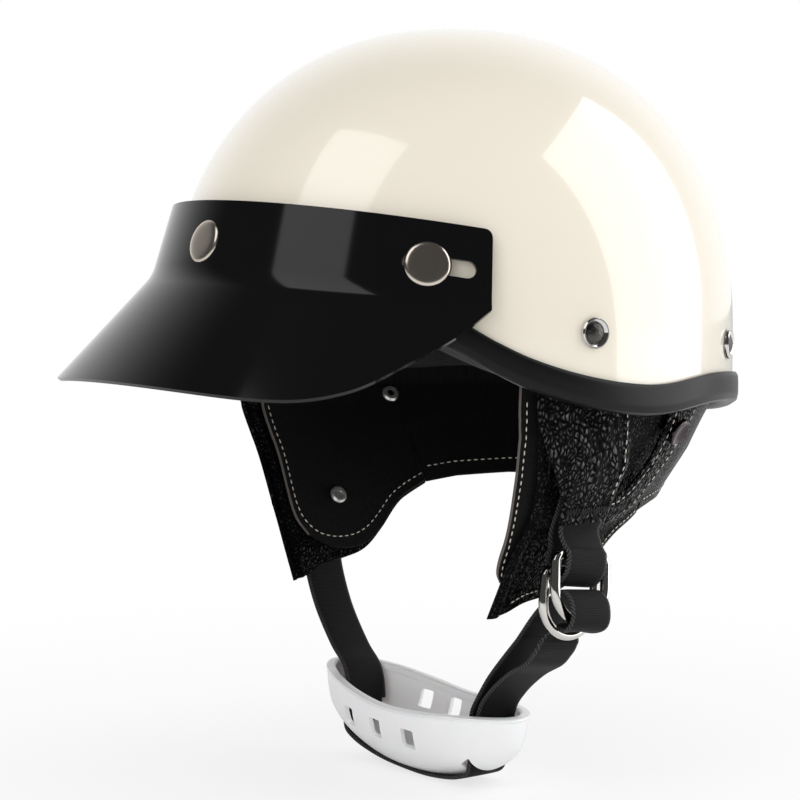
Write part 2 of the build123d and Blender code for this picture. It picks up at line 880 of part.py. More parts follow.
# Snap studs on the shell, each with its shank through the shell
for name, plane in stud_planes.items():
    reach = centre_stud_reach if name == "centre" else side_stud_reach
    with BuildPart() as shell_stud:
        add(turned(plane, stud_profile(reach)))
    shell_stud.part.label = f"shell_stud_{name}"
    export_step(shell_stud.part, f"parts/shell_stud_{name}.step")

# Washers under the studs' riveted ends, inside the shell
with BuildPart() as stud_washers:
    for plane in stud_planes.values():
        add(rod(plane, washer_radius, -washer_low, -washer_high))
        add(rod(plane, stud_hole, -overrun * 2, 0), mode=Mode.SUBTRACT)
stud_washers.part.label = "stud_washers"
export_step(stud_washers.part, "parts/stud_washers.step")

# Strap rivets: the dished bright rings with their posts
with BuildPart() as strap_rivets:
    for plane in all_rivets:
        add(turned(plane, rivet_profile))
strap_rivets.part.label = "strap_rivets"
export_step(strap_rivets.part, "parts/strap_rivets.step")

# Strap rivets: the textured domes that sit in the rings
with BuildPart() as rivet_domes:
    for plane in all_rivets:
        add(dome_cap(plane.offset(rivet_seat), rivet_dome, rivet_height - rivet_seat))
rivet_domes.part.label = "rivet_domes"
export_step(rivet_domes.part, "parts/rivet_domes.step")

# Barrel nuts that hold the straps inside the shell
with BuildPart() as strap_nuts:
    for plane in all_rivets:
        add(turned(plane, nut_profile))
strap_nuts.part.label = "strap_nuts"
export_step(strap_nuts.part, "parts/strap_nuts.step")

# Front and rear straps of each side
for name, side in sides.items():
    with BuildPart() as front_strap:
        add(drape_sheet(front_strap_outsets, strap_leather))
        add(side_prism(front_strap_shares, flap_drop, side), mode=Mode.INTERSECT)
        for plane in front_rivets:
            add(rod(plane, nut_hole, -shell_wall * 4, 0), mode=Mode.SUBTRACT)
    front_strap.part.label = f"{name}_front_strap"
    export_step(front_strap.part, f"parts/{name}_front_strap.step")
    with BuildPart() as rear_strap:
        add(drape_sheet(rear_strap_outsets, strap_leather))
        add(side_prism(rear_strap_shares, flap_drop, side), mode=Mode.INTERSECT)
        for plane in rear_rivets:
            add(rod(plane, nut_hole, -shell_wall * 4, 0), mode=Mode.SUBTRACT)
        add(rod(upper_snaps[name], button_hole, -overrun, 2 * overrun), mode=Mode.SUBTRACT)
    rear_strap.part.label = f"{name}_rear_strap"
    export_step(rear_strap.part, f"parts/{name}_rear_strap.step")

# Neck curtain: leather outside and ribbed lining inside, as two ear flaps and a nape piece
for zone, side in {"left_ear_flap": 1, "right_ear_flap": -1, "nape_curtain": 0}.items():
    for ply, outset, thickness in curtain_plies:
        with BuildPart() as curtain:
            add(drape_sheet([outset] * len(drape_shares), thickness))
            add(curtain_prism(), mode=Mode.INTERSECT)
            add(curtain_zone(side), mode=Mode.INTERSECT)
            for snap in snap_rods:
                add(snap, mode=Mode.SUBTRACT)
        curtain.part.label = zone + ply
        export_step(curtain.part, f"parts/{zone}{ply}.step")

# Foam strip that fills the room between the edge trim and the curtain, beside the straps
with BuildPart() as curtain_strip:
    add(drape_sheet([strip_outset] * len(drape_shares), strip_thickness))
    add(above_rim(trim_floor), mode=Mode.INTERSECT)
    add(side_prism(strip_shares, flap_drop, 0), mode=Mode.INTERSECT)
    for shares in (front_strap_shares, rear_strap_shares):
        add(side_prism(shares, flap_drop, 0, strip_gap), mode=Mode.SUBTRACT)
curtain_strip.part.label = "curtain_strip"
export_step(curtain_strip.part, "parts/curtain_strip.step")

# Buttons on the rear straps' outside, with the posts that pass the strap and the flap
with BuildPart() as flap_buttons:
    for plane in upper_snaps.values():
        seat = plane.offset(button_seat)
        add(dome_cap(seat, button_radius, button_height))
        add(rod(plane, button_post, -button_post_length, button_seat + button_height / 2))
flap_buttons.part.label = "flap_buttons"
export_step(flap_buttons.part, "parts/flap_buttons.step")

# Posts of the lower snaps, set flush in the leather
with BuildPart() as flap_posts:
    for plane in lower_snaps.values():
        add(rod(plane, button_post, -button_post_length, -ply_gap))
flap_posts.part.label = "flap_posts"
export_step(flap_posts.part, "parts/flap_posts.step")

# Snap rings on the lining's face
with BuildPart() as flap_rings:
    for plane in [*upper_snaps.values(), *lower_snaps.values()]:
        add(turned(plane.offset(-flap_ring_seat), flap_ring_profile))
flap_rings.part.label = "flap_rings"
export_step(flap_rings.part, "parts/flap_rings.step")


# Length of webbing that lies in the seam between a side's two straps
def seam_leg(outset, side, width):
    with BuildPart() as leg:
        add(drape_sheet([outset] * len(drape_shares), webbing_thickness))
        with Locations((side * shell_half_width, bar_y, (loop_top + loop_seam) / 2)):
            Box(shell_half_width, width, loop_top - loop_seam, mode=Mode.INTERSECT)
    return leg.part


# Webbing loop that carries the rings: two legs in the seam of the left straps and a bight
with BuildPart() as left_ring_loop:
    add(seam_leg(inner_leg_outset, 1, webbing_width))
    add(seam_leg(outer_leg_outset, 1, webbing_width))
    add(ribbon(ring_frame, loop_shares, ring_height, webbing_width))
left_ring_loop.part.label = "left_ring_loop"
export_step(left_ring_loop.part, "parts/left_ring_loop.step")

# The two rings, bent from round wire
for name, (across, lift, lean) in ring_places.items():
    with BuildPart() as d_ring:
        add(bent_ring(across, lift, lean))
    d_ring.part.label = f"d_ring_{name}"
    export_step(d_ring.part, f"parts/d_ring_{name}.step")

# Chin strap where it is threaded through the rings: up through both, over the second and
# back through the first, bunched together where it passes the first ring's bend
with BuildPart() as strap_wrap:
    add(ribbon(ring_frame, wrap_shares, ring_height, wrap_width))
    add(wrap_waist(), mode=Mode.SUBTRACT)
strap_wrap.part.label = "strap_wrap"
export_step(strap_wrap.part, "parts/strap_wrap.step")

# Free end of the chin strap: it leaves the rings outside the strap and runs with it to the cup
with BuildPart() as strap_tail:
    add(ribbon(ring_frame, tail_top_shares, ring_height, wrap_width))
    add(ribbon(strap_frame, tail_shares, cup_half_length, wrap_width))
strap_tail.part.label = "strap_tail"
export_step(strap_tail.part, "parts/strap_tail.step")

# Chin strap from the cup up to the rings
with BuildPart() as chin_strap_left:
    add(ribbon(strap_frame, left_strap_shares, cup_half_length, wrap_width))
chin_strap_left.part.label = "chin_strap_left"
export_step(chin_strap_left.part, "parts/chin_strap_left.step")

# Chin strap from the cup up to the right seam
with BuildPart() as chin_strap_right:
    add(ribbon(strap_frame, right_strap_shares, cup_half_length, wrap_width))
chin_strap_right.part.label = "chin_strap_right"
export_step(chin_strap_right.part, "parts/chin_strap_right.step")

# Its upper end, stitched between the right straps
with BuildPart() as right_strap_anchor:
    add(seam_leg(outer_leg_outset, -1, wrap_width))
    add(ribbon(strap_frame, anchor_shares, cup_half_length, wrap_width))
right_strap_anchor.part.label = "right_strap_anchor"
export_step(right_strap_anchor.part, "parts/right_strap_anchor.step")

# Chin strap where it leaves the cup by the slots and passes beneath it
with BuildPart() as strap_under_cup:
    add(ribbon(cup_side, under_strap_shares, cup_half_length, wrap_width))
strap_under_cup.part.label = "strap_under_cup"
export_step(strap_under_cup.part, "parts/strap_under_cup.step")


# Blocks that cut the cup's strap slots and its two rows of vents
def strap_slots():
    with BuildPart() as slots:
        with BuildSketch(cup_frame.offset(-strap_slot_level)):
            with Locations((strap_slot_x, 0), (-strap_slot_x, 0)):
                Rectangle(strap_slot_width, strap_slot_length)
        extrude(amount=-cup_depth)
    return slots.part


def vent_row(x, drop, pitch, reach):
    with BuildPart() as vents:
        with BuildSketch(cup_side):
            with Locations((x, drop)):
                with GridLocations(pitch, 0, vent_count, 1):
                    Rectangle(vent_width, vent_height)
        extrude(amount=reach)
    return vents.part


# Chin cup: moulded shell with a rolled rim, strap slots and vents
with BuildPart() as chin_cup:
    add(cup_body(0))
    add(cup_body(cup_rim_width))
    add(below_cup_rim(cup_rim_height), mode=Mode.SUBTRACT)
    add(cup_body(0))
    add(cup_body(-cup_wall), mode=Mode.SUBTRACT)
    add(below_cup_rim(0), mode=Mode.INTERSECT)
    add(strap_slots(), mode=Mode.SUBTRACT)
    front_reach = cup_half_width + overrun
    add(vent_row(vent_front_x, vent_front_drop, vent_pitch, front_reach), mode=Mode.SUBTRACT)
    add(vent_row(vent_rear_x, vent_rear_drop, vent_rear_pitch, -front_reach), mode=Mode.SUBTRACT)
chin_cup.part.label = "chin_cup"
export_step(chin_cup.part, "parts/chin_cup.step")
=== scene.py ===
import bpy
import bmesh
from math import acos, asin, copysign, cos, hypot, pi, radians, sin, sqrt
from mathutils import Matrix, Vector, noise


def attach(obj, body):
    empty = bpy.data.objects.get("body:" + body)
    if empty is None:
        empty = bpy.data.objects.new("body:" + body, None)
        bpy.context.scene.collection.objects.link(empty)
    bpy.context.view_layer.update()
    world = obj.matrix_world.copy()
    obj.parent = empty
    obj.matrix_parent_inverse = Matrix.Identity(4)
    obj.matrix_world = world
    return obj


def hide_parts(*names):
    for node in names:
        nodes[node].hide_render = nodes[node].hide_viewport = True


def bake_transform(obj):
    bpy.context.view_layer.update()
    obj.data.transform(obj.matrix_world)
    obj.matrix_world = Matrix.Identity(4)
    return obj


# Half shell motorcycle helmet: cream lacquered shell, black visor held by three snaps, leather
# ear flaps and neck curtain, webbing chin strap with double rings and a moulded chin cup.
# The wearer faces -Y and the wearer's left is +X. Sizes are in metres.
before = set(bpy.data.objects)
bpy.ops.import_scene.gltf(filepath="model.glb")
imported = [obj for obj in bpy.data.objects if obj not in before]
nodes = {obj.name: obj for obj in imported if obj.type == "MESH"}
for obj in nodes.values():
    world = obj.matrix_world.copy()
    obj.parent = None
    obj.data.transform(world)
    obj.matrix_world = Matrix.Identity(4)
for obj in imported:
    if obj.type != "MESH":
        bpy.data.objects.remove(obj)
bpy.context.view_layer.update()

# Camera, low at the front left of the helmet, on a long lens.
camera = bpy.data.objects.new("camera", bpy.data.cameras.new("camera"))
bpy.context.scene.collection.objects.link(camera)
camera.data.lens = 112.275
camera.data.sensor_width = 36
camera.location = (0.87675, -0.74253, 0.06364)
camera.rotation_euler = (radians(85.3), 0, radians(51))
bpy.context.scene.camera = camera
bpy.context.scene.view_settings.view_transform = "Standard"


# Studio: a tall softbox behind the wearer's left and one above the brow, with a fill from the
# front that doesn't show in the gloss.
def softbox(name, azimuth, elevation, distance, width, height, power, glossy=True):
    lamp = bpy.data.objects.new(name, bpy.data.lights.new(name, "AREA"))
    bpy.context.scene.collection.objects.link(lamp)
    lamp.data.shape = "RECTANGLE"
    lamp.data.size = width
    lamp.data.size_y = height
    lamp.data.energy = power
    flat = cos(radians(elevation))
    way = Vector((flat * cos(radians(azimuth)), flat * sin(radians(azimuth)),
                  sin(radians(elevation))))
    lamp.location = way * distance
    lamp.rotation_euler = way.to_track_quat("Z", "Y").to_euler()
    lamp.visible_glossy = glossy


softbox("softbox_side", azimuth=56, elevation=20, distance=1.2, width=1.05, height=1.5,
        power=11)
softbox("softbox_brow", azimuth=-81, elevation=46, distance=1.3, width=0.72, height=0.95,
        power=3.4)
softbox("fill_front", azimuth=-55, elevation=8, distance=2.2, width=1.6, height=1.6, power=16,
        glossy=False)


# Gives each input of a node its value, or links what feeds it: an output, or a node's first
# output in use
def feed(node, inputs):
    for socket, value in inputs.items():
        if isinstance(value, bpy.types.Node):
            value = next(output for output in value.outputs if output.enabled)
        if isinstance(value, bpy.types.NodeSocket):
            node.id_data.links.new(value, node.inputs[socket])
        else:
            node.inputs[socket].default_value = value


def add_node(tree, kind, inputs, **settings):
    node = tree.nodes.new("ShaderNode" + kind)
    for setting, value in settings.items():
        setattr(node, setting, value)
    feed(node, inputs)
    return node


def calc(tree, operation, *values):
    return add_node(tree, "Math", dict(enumerate(values)), operation=operation)


# Draws a value's range from low to high out over another, straight or smoothly
def ramp(tree, value, low, high, start=0.0, end=1.0, kind="SMOOTHSTEP"):
    return add_node(tree, "MapRange", {"Value": value, "From Min": low, "From Max": high,
                                       "To Min": start, "To Max": end},
                    interpolation_type=kind)


# The room is white to the camera and darker in reflections towards one side.
world = bpy.data.worlds.new("studio")
bpy.context.scene.world = world
world.use_nodes = True
tree = world.node_tree
ray = add_node(tree, "LightPath", {}).outputs
seen = calc(tree, "MAXIMUM", ray["Is Camera Ray"], ray["Is Transmission Ray"])
where = add_node(tree, "TexCoord", {}).outputs["Generated"]
facing = add_node(tree, "VectorMath", {0: where, 1: (-0.774, 0.627, -0.08)},
                  operation="DOT_PRODUCT")
backdrop = ramp(tree, facing, 0.1, 0.85, 0.06)
gloss = add_node(tree, "Mix", {"Factor": ray["Is Glossy Ray"], "A": 0.62, "B": backdrop},
                 data_type="FLOAT")
feed(tree.nodes["Background"], {"Color": (1, 1, 1, 1),
                                "Strength": calc(tree, "MAXIMUM", seen, gloss)})


def into_scene(name, bm):
    mesh = bpy.data.meshes.new(name)
    bm.to_mesh(mesh)
    bm.free()
    piece = bpy.data.objects.new(name, mesh)
    bpy.context.scene.collection.objects.link(piece)
    return piece


def new_material(name):
    material = bpy.data.materials.new(name)
    material.use_nodes = True
    tree = material.node_tree
    return material, tree, tree.nodes["Principled BSDF"]


# Floor: a pale sweep under the helmet, white away from it.
floor_level = -0.2015
floor_half = 6
bm = bmesh.new()
bmesh.ops.create_grid(bm, x_segments=1, y_segments=1, size=floor_half)
bmesh.ops.translate(bm, verts=bm.verts, vec=(0, 0, floor_level))
floor = into_scene("floor", bm)
paper, tree, skin = new_material("paper")
feed(skin, {"Base Color": (0.93, 0.93, 0.93, 1), "Roughness": 0.9,
            "Specular IOR Level": 0.1})
middle = add_node(tree, "TexCoord", {}).outputs["Object"]
fade = ramp(tree, add_node(tree, "VectorMath", {0: middle}, operation="LENGTH"), 0.1, 0.6,
            0.7)
ray = add_node(tree, "LightPath", {}).outputs["Is Camera Ray"]
mix = add_node(tree, "MixShader", {"Fac": calc(tree, "MULTIPLY", fade, ray), 1: skin,
                                   2: add_node(tree, "Emission", {})})
feed(tree.nodes["Material Output"], {"Surface": mix})
floor.data.materials.append(paper)


# Outer shell: laid-up glass fibre, filled, sprayed cream and clear coated. It is a dome of
# oval sections, upright below its widest level, and its edge is hidden in the rubber trim.
half_width = 0.1172
half_length = 0.1371
crown = 0.139
power = 2.2
rim_line = [(-0.1508, 0.0132), (-0.1206, 0.0123), (-0.086, 0.0022), (-0.065, -0.0102),
            (-0.0489, -0.0181), (-0.028, -0.0247), (-0.0041, -0.0292), (0.02, -0.0307),
            (0.06, -0.0283), (0.1001, -0.0315), (0.1302, -0.0396), (0.1508, -0.0462)]


# A smooth line through points, as evenly spaced spots
def smooth_line(points, count=240):
    points = [Vector(p) for p in points]
    ends = [points[0] * 2 - points[1], *points, points[-1] * 2 - points[-2]]
    fine = []
    for a, b, c, d in zip(ends, ends[1:], ends[2:], ends[3:]):
        for k in range(12):
            t = k / 12
            fine.append((b * 2 + (c - a) * t + (a * 2 - b * 5 + c * 4 - d) * t * t
                         + (b * 3 - a - c * 3 + d) * t ** 3) / 2)
    fine.append(points[-1])
    return evenly(fine, count)


# Evenly spaced spots along a fine line
def evenly(fine, count=240):
    reach = [0]
    for a, b in zip(fine, fine[1:]):
        reach.append(reach[-1] + (b - a).length)
    spots = []
    k = 0
    for i in range(count + 1):
        want = reach[-1] * i / count
        while k < len(fine) - 2 and reach[k + 1] < want:
            k += 1
        part = (want - reach[k]) / max(reach[k + 1] - reach[k], 1e-12)
        spots.append(fine[k].lerp(fine[k + 1], part))
    return spots


# The point at a share of a line's length
def along(spots, share):
    at = min(max(share, 0), 1) * (len(spots) - 1)
    k = min(int(at), len(spots) - 2)
    return spots[k].lerp(spots[k + 1], at - k)


# Height of a line of (place, height) pairs at a place
def level_at(line, place):
    for a, b in zip(line, line[1:]):
        if place <= b[0]:
            break
    part = (place - a[0]) / (b[0] - a[0])
    return a[1] + (b[1] - a[1]) * min(max(part, 0), 1)


def smooth_pairs(points, count=240):
    return [tuple(p) for p in smooth_line(points, count)]


rim_fine = smooth_pairs(rim_line)


def shell_shrink(z):
    return (1 - (max(z, 0) / crown) ** power) ** (1 / power)


# Height of the rim raised by a distance, at an angle round the shell
def rim_height(angle, rise=0):
    z = 0
    for _ in range(12):
        z = level_at(rim_fine, half_length * shell_shrink(z) * sin(angle)) + rise
    return z


weld = 2e-6
cut_step = 0.0004


# A form made from a flat grid whose corners run from 0 to 1 in u and v, each vertex moved to
# where the shape has it; seams that meet are merged. Faces where cut is below zero are taken
# out, and the vertices round them are moved onto its line.
def formed(name, across, along_it, place, body, slot, replaced=(), uv=None, cut=None, **stood):
    bm = bmesh.new()
    bmesh.ops.create_grid(bm, x_segments=across, y_segments=along_it, size=0.5)
    shares = {v: (v.co.x + 0.5, v.co.y + 0.5) for v in bm.verts}
    if uv:
        layer = bm.loops.layers.uv.new("UVMap")
        for face in bm.faces:
            for corner in face.loops:
                corner[layer].uv = uv(*shares[corner.vert])
    for v, (a, b) in shares.items():
        v.co = place(a, b)
    if cut:
        gone = [f for f in bm.faces
                if cut(sum((Vector(shares[v]) for v in f.verts), Vector((0, 0)))
                       / len(f.verts)) < 0]
        edge_verts = {v for f in gone for v in f.verts}
        bmesh.ops.delete(bm, geom=gone, context="FACES")
        for v in filter(lambda vert: vert.is_valid, edge_verts):
            spot = Vector(shares[v])
            for _ in range(3):
                away = cut(spot)
                slope = Vector(((cut(spot + Vector((cut_step, 0))) - away) / cut_step,
                                (cut(spot + Vector((0, cut_step))) - away) / cut_step))
                if slope.length_squared > 1e-9:
                    spot = spot - slope * (away / slope.length_squared)
            v.co = place(*spot)
    bmesh.ops.remove_doubles(bm, verts=bm.verts, dist=weld)
    return stand(name, bm, body, slot, replaced, **stood)


# Puts a finished mesh in the scene: smooth faces, sharp turns kept, wall and rounded edges
def stand(name, bm, body, slot, replaced=(), wall=0, wall_side=-1, edge=0):
    if all(e.is_manifold for e in bm.edges):
        bmesh.ops.recalc_face_normals(bm, faces=bm.faces)
    for face in bm.faces:
        face.smooth = True
    piece = into_scene(name, bm)
    piece.data.set_sharp_from_angle(angle=radians(38))
    if wall:
        thick = piece.modifiers.new("wall", "SOLIDIFY")
        thick.thickness = wall
        thick.offset = wall_side
        thick.use_even_offset = True
    if edge:
        round_off = piece.modifiers.new("edge", "BEVEL")
        round_off.width = edge
        round_off.segments = 2
        round_off.limit_method = "ANGLE"
        round_off.angle_limit = radians(50)
        round_off.harden_normals = True
    piece.data.materials.append(finishes[slot])
    if body:
        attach(piece, body)
    if replaced:
        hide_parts(*replaced)
    return piece


# A group of shader nodes: its inputs with their defaults, and the names of its outputs
def group(name, inputs, outputs):
    made = bpy.data.node_groups.new(name, "ShaderNodeTree")
    for label, value in inputs.items():
        kind = "NodeSocketColor" if isinstance(value, tuple) else "NodeSocketFloat"
        socket = made.interface.new_socket(label, in_out="INPUT", socket_type=kind)
        socket.default_value = value
    for label in outputs:
        kind = "NodeSocketColor" if label == "Colour" else "NodeSocketFloat"
        made.interface.new_socket(label, in_out="OUTPUT", socket_type=kind)
    return made, made.nodes.new("NodeGroupInput").outputs, made.nodes.new("NodeGroupOutput")


# Small changes of colour and gloss over a surface, as handling and dust leave them
surface_life, given, put = group(
    "surface_life", {"Colour": (1, 1, 1, 1), "Scale": 30.0, "Colour Change": 0.05,
                     "Roughness": 0.3, "Roughness Change": 0.05},
    ["Colour", "Roughness", "Height"])
spot = add_node(surface_life, "TexCoord", {}).outputs["Object"]
cloud = add_node(surface_life, "TexNoise", {"Detail": 6, "Vector": spot,
                                            "Scale": given["Scale"]}).outputs["Fac"]
centred = calc(surface_life, "SUBTRACT", cloud, 0.5)
tone = calc(surface_life, "MULTIPLY_ADD", centred, given["Colour Change"], 1)
tint = add_node(surface_life, "VectorMath", {0: given["Colour"], "Scale": tone},
                operation="SCALE")
rough = calc(surface_life, "MULTIPLY_ADD", centred, given["Roughness Change"],
             given["Roughness"])
feed(put, {"Colour": tint, "Roughness": rough, "Height": cloud})

finishes = {}


# A finish: the shader with its fixed values, the surface life and a bump from a height
def finish(slot, colour, roughness, scale=30.0, colour_change=0.06, roughness_change=0.08,
           bump=0.0, bump_distance=0.0002, **fixed):
    finishes[slot], tree, shader = new_material(slot)
    life = add_node(tree, "Group", {
        "Colour": (*colour, 1), "Scale": scale, "Colour Change": colour_change,
        "Roughness": roughness, "Roughness Change": roughness_change},
        node_tree=surface_life)
    relief = add_node(tree, "Bump", {"Strength": bump, "Distance": bump_distance,
                                     "Height": life.outputs["Height"]})
    feed(shader, {socket.replace("_", " "): value for socket, value in fixed.items()})
    feed(shader, {"Base Color": life, "Roughness": life.outputs["Roughness"],
                  "Normal": relief})
    return tree, shader, life, relief


# Gives solids that keep their own form their finish
def dress(slot, *names):
    for name in names:
        nodes[name].material_slots[0].material = finishes[slot]


finish("shell_paint", (0.80, 0.745, 0.635), 0.16, scale=14, colour_change=0.03,
       roughness_change=0.05, bump=0.03, bump_distance=0.0004, Coat_Weight=1.0,
       Coat_Roughness=0.03, Specular_IOR_Level=0.5)

dome_length = 0.2


def on_shell(u, v, inset=0.0, rise=0.0):
    angle = u * 2 * pi
    low = rim_height(angle, rise)
    a, b, h = half_width - inset, half_length - inset, crown - inset
    down = v * (dome_length - low)
    if down <= dome_length:
        climb = radians(90) * (1 - down / dome_length)
        share, z = cos(climb) ** (2 / power), h * sin(climb) ** (2 / power)
    else:
        share, z = 1, dome_length - down
    return Vector((a * share * cos(angle), b * share * sin(angle), z))


formed("shell", 160, 90, lambda u, v: on_shell(1 - u, v, 0, 0.004), "shell", "shell_paint",
       ["outer_shell"], wall=0.004)

# Edge trim: a moulded rubber channel pushed over the shell's edge, satin black.
finish("trim_rubber", (0.004, 0.004, 0.0044), 0.34, scale=60, colour_change=0.25,
       roughness_change=0.1, bump=0.1, bump_distance=0.0003, Specular_IOR_Level=0.2)
bead = [(-0.0008, 0.0131), (0.0018, 0.0135), (0.0026, 0.0122), (0.0028, 0.009),
        (0.0028, 0.004), (0.0022, 0.0012), (0.0004, 0), (-0.0035, 0), (-0.0054, 0.0012),
        (-0.0061, 0.004), (-0.0061, 0.0125), (-0.0052, 0.0132), (-0.0042, 0.0126),
        (-0.0042, 0.005), (-0.0001, 0.005), (-0.0001, 0.0126), (-0.0008, 0.0131)]
bead_line = evenly([Vector(p) for p in bead], 64)


def on_trim(u, v):
    out, up = along(bead_line, v)
    angle = u * 2 * pi
    foot = rim_height(angle)
    z = foot + up
    shrink = shell_shrink(z)
    return Vector(((half_width + out) * shrink * cos(angle),
                   (half_length + out) * shrink * sin(angle), z))


formed("trim", 200, 64, on_trim, "shell", "trim_rubber", ["edge_trim"])

# Impact liner: black moulded foam inside the shell, its bead grain showing at the edge.
finish("liner_foam", (0.018, 0.018, 0.019), 0.75, scale=450, colour_change=0.5, bump=0.5,
       bump_distance=0.0005)
dress("liner_foam", "impact_liner")

# Comfort liner: a quilted crown pad and a sweat band of black mesh cloth over soft foam,
# held in the impact liner by discs of hook tape.
weave, given, put = group("woven_cloth", {"Thread": 900.0}, ["Height"])
spot = add_node(weave, "TexCoord", {}).outputs["Object"]
waves = [add_node(weave, "TexWave", {"Distortion": 0.6, "Vector": spot,
                                     "Scale": given["Thread"]},
                  bands_direction=axis).outputs["Fac"] for axis in "XYZ"]
feed(put, {"Height": calc(weave, "ADD", calc(weave, "ADD", *waves[:2]), waves[2])})


def cloth(slot, colour, thread, depth):
    tree, shader, life, relief = finish(slot, colour, 0.85, scale=120, colour_change=0.4,
                                        bump=0.6, bump_distance=depth, Sheen_Weight=0.35,
                                        Sheen_Roughness=0.4)
    feed(relief, {"Height": add_node(tree, "Group", {"Thread": thread}, node_tree=weave)})


cloth("pad_fabric", (0.014, 0.014, 0.015), 300, 0.0003)
cloth("patch_tape", (0.02, 0.02, 0.02), 200, 0.0005)
cloth("strip_foam", (0.015, 0.015, 0.015), 260, 0.0003)

pad_depth = 0.0326
seam_swell = 0.0014
full_swell = 0.0022


# Padded dome between two heights: full between its quilting seams and rolled at its edges.
# Without a top height it closes at the crown.
def pad(name, replaced, top, low_rise, seam_rows, seam_columns):
    pad_crown = crown - pad_depth

    def place(u, v):
        ring = v * 2 if v < 0.5 else 2 - v * 2
        angle = u * 2 * pi
        low = low_rise(angle)
        if top is None:
            climb_low = asin(min((max(low, 0) / pad_crown) ** (power / 2), 1))
            climb = radians(90) - ring * (radians(90) - climb_low)
            z = pad_crown * sin(climb) ** (2 / power)
            share = cos(climb) ** (2 / power)
        else:
            z = top - ring * (top - low)
            share = (1 - (max(z, 0) / pad_crown) ** power) ** (1 / power)
        seam = abs(sin(ring * pi * seam_rows)) * abs(sin(angle * seam_columns / 2))
        ends = min(3.2 * ring if top else 1, 6 * (1 - ring), 1)
        swell = (seam_swell + full_swell * seam ** 0.35) * sqrt(max(ends, 0))
        inset = pad_depth + (swell if v < 0.5 else -swell)
        return Vector(((half_width - inset) * share * cos(angle),
                       (half_length - inset) * share * sin(angle), z))

    piece = formed(name, 144, 120, place, "shell", "pad_fabric", replaced)


pad("crown_cushion", ["crown_pad"], top=None, low_rise=lambda angle: 0.0475, seam_rows=4,
    seam_columns=12)
pad("sweat_band", ["headband_pad"], top=0.0425,
    low_rise=lambda angle: rim_height(angle, 0.0085), seam_rows=1, seam_columns=12)
dress("patch_tape", "liner_patches")

# Visor: one sheet of gloss black plastic, pressed with an upright band that lies round the
# shell, a soft crease and a flared brim. Each side has a slot for its snap.
finish("visor_gloss", (0.0035, 0.0035, 0.004), 0.09, scale=20, colour_change=0.2,
       roughness_change=0.06, bump=0.02, bump_distance=0.0004, Specular_IOR_Level=0.35)
visor_tilt = radians(10.2)
crease_level = 0.0039
crease_half_width = 0.1235
crease_half_length = 0.1455
crease_soft = 0.0045
crease_lift = 0.55
band_height = 0.0326
band_top = 0.0365
band_width_taper = 0.0055
band_length_taper = 0.0045
band_share = 0.4
brim_drop = 0.06
brim_flare = 0.0415
snap_level = 0.0184
visor_rear = -0.0732
visor_side = 0.15
visor_corner = 0.0035
gather = 0.35
brim_edge = smooth_pairs([
    (-0.198, -0.0465), (-0.1601, -0.0474), (-0.1353, -0.0399), (-0.1103, -0.024),
    (-0.0902, -0.0105), (-0.0732, 0.003)])


# Half width and half length of the sheet's oval at a height, before the crease is rounded
def visor_oval(z):
    if z > crease_level:
        share = (z - crease_level) / band_height
        return (crease_half_width - band_width_taper * share,
                crease_half_length - band_length_taper * share)
    share = (crease_level - z) / brim_drop
    return crease_half_width + brim_flare * share, crease_half_length + brim_flare * share


def visor_point(angle, z):
    a, b = visor_oval(z)
    near = abs(z - crease_level)
    if near < crease_soft:
        lift = crease_lift / (4 * crease_soft) * (crease_soft - near) ** 2
        a, b = a + lift, b + lift
    x = a * sin(angle)
    y = -b * cos(angle)
    return Vector((x, y * cos(visor_tilt) + z * sin(visor_tilt),
                   z * cos(visor_tilt) - y * sin(visor_tilt)))


# Place round the sheet from -1 to 1, its grid drawn together at the rear ends
def visor_spread(u):
    spread = 2 * u - 1
    return spread * (1 + gather - gather * spread * spread)


def visor_angle(spread, z):
    return spread * acos(-visor_rear / visor_oval(z)[1])


def visor_place(u, v):
    spread = visor_spread(u)
    if v < band_share:
        top = band_top
        rear_gap = (1 - abs(spread)) * visor_side
        if rear_gap < visor_corner:
            top -= visor_corner - sqrt(visor_corner ** 2 - (visor_corner - rear_gap) ** 2)
        z = crease_level + (1 - v / band_share) * (top - crease_level)
        return visor_point(visor_angle(spread, z), z)
    angle = visor_angle(spread, crease_level)
    low, high = 0.0, 1.0
    for _ in range(24):
        middle = (low + high) / 2
        z = crease_level - brim_drop * middle
        inside = z > level_at(brim_edge, -visor_oval(z)[1] * cos(angle))
        low, high = (middle, high) if inside else (low, middle)
    down = low * (v - band_share) / (1 - band_share)
    return visor_point(angle, crease_level - brim_drop * down)


snap_angle = radians(48)
snap_reach = 0.13
slot_shift = 0.0046
slot_half_length = 0.01115
slot_radius = 0.0036


# Distance outside the snap slots, in metres, at shares of the sheet
def slot_distance(spot):
    u, v = spot
    if v > band_share:
        return 1
    z = crease_level + (1 - v / band_share) * (band_top - crease_level)
    angle = abs(visor_angle(visor_spread(u), z))
    beyond = (angle - snap_angle) * snap_reach - slot_shift
    return hypot(max(abs(beyond) - slot_half_length, 0), z - snap_level) - slot_radius


formed("visor_sheet", 320, 120, visor_place, "visor", "visor_gloss", ["visor_peak"],
       wall=0.002, edge=0.0005, cut=slot_distance)


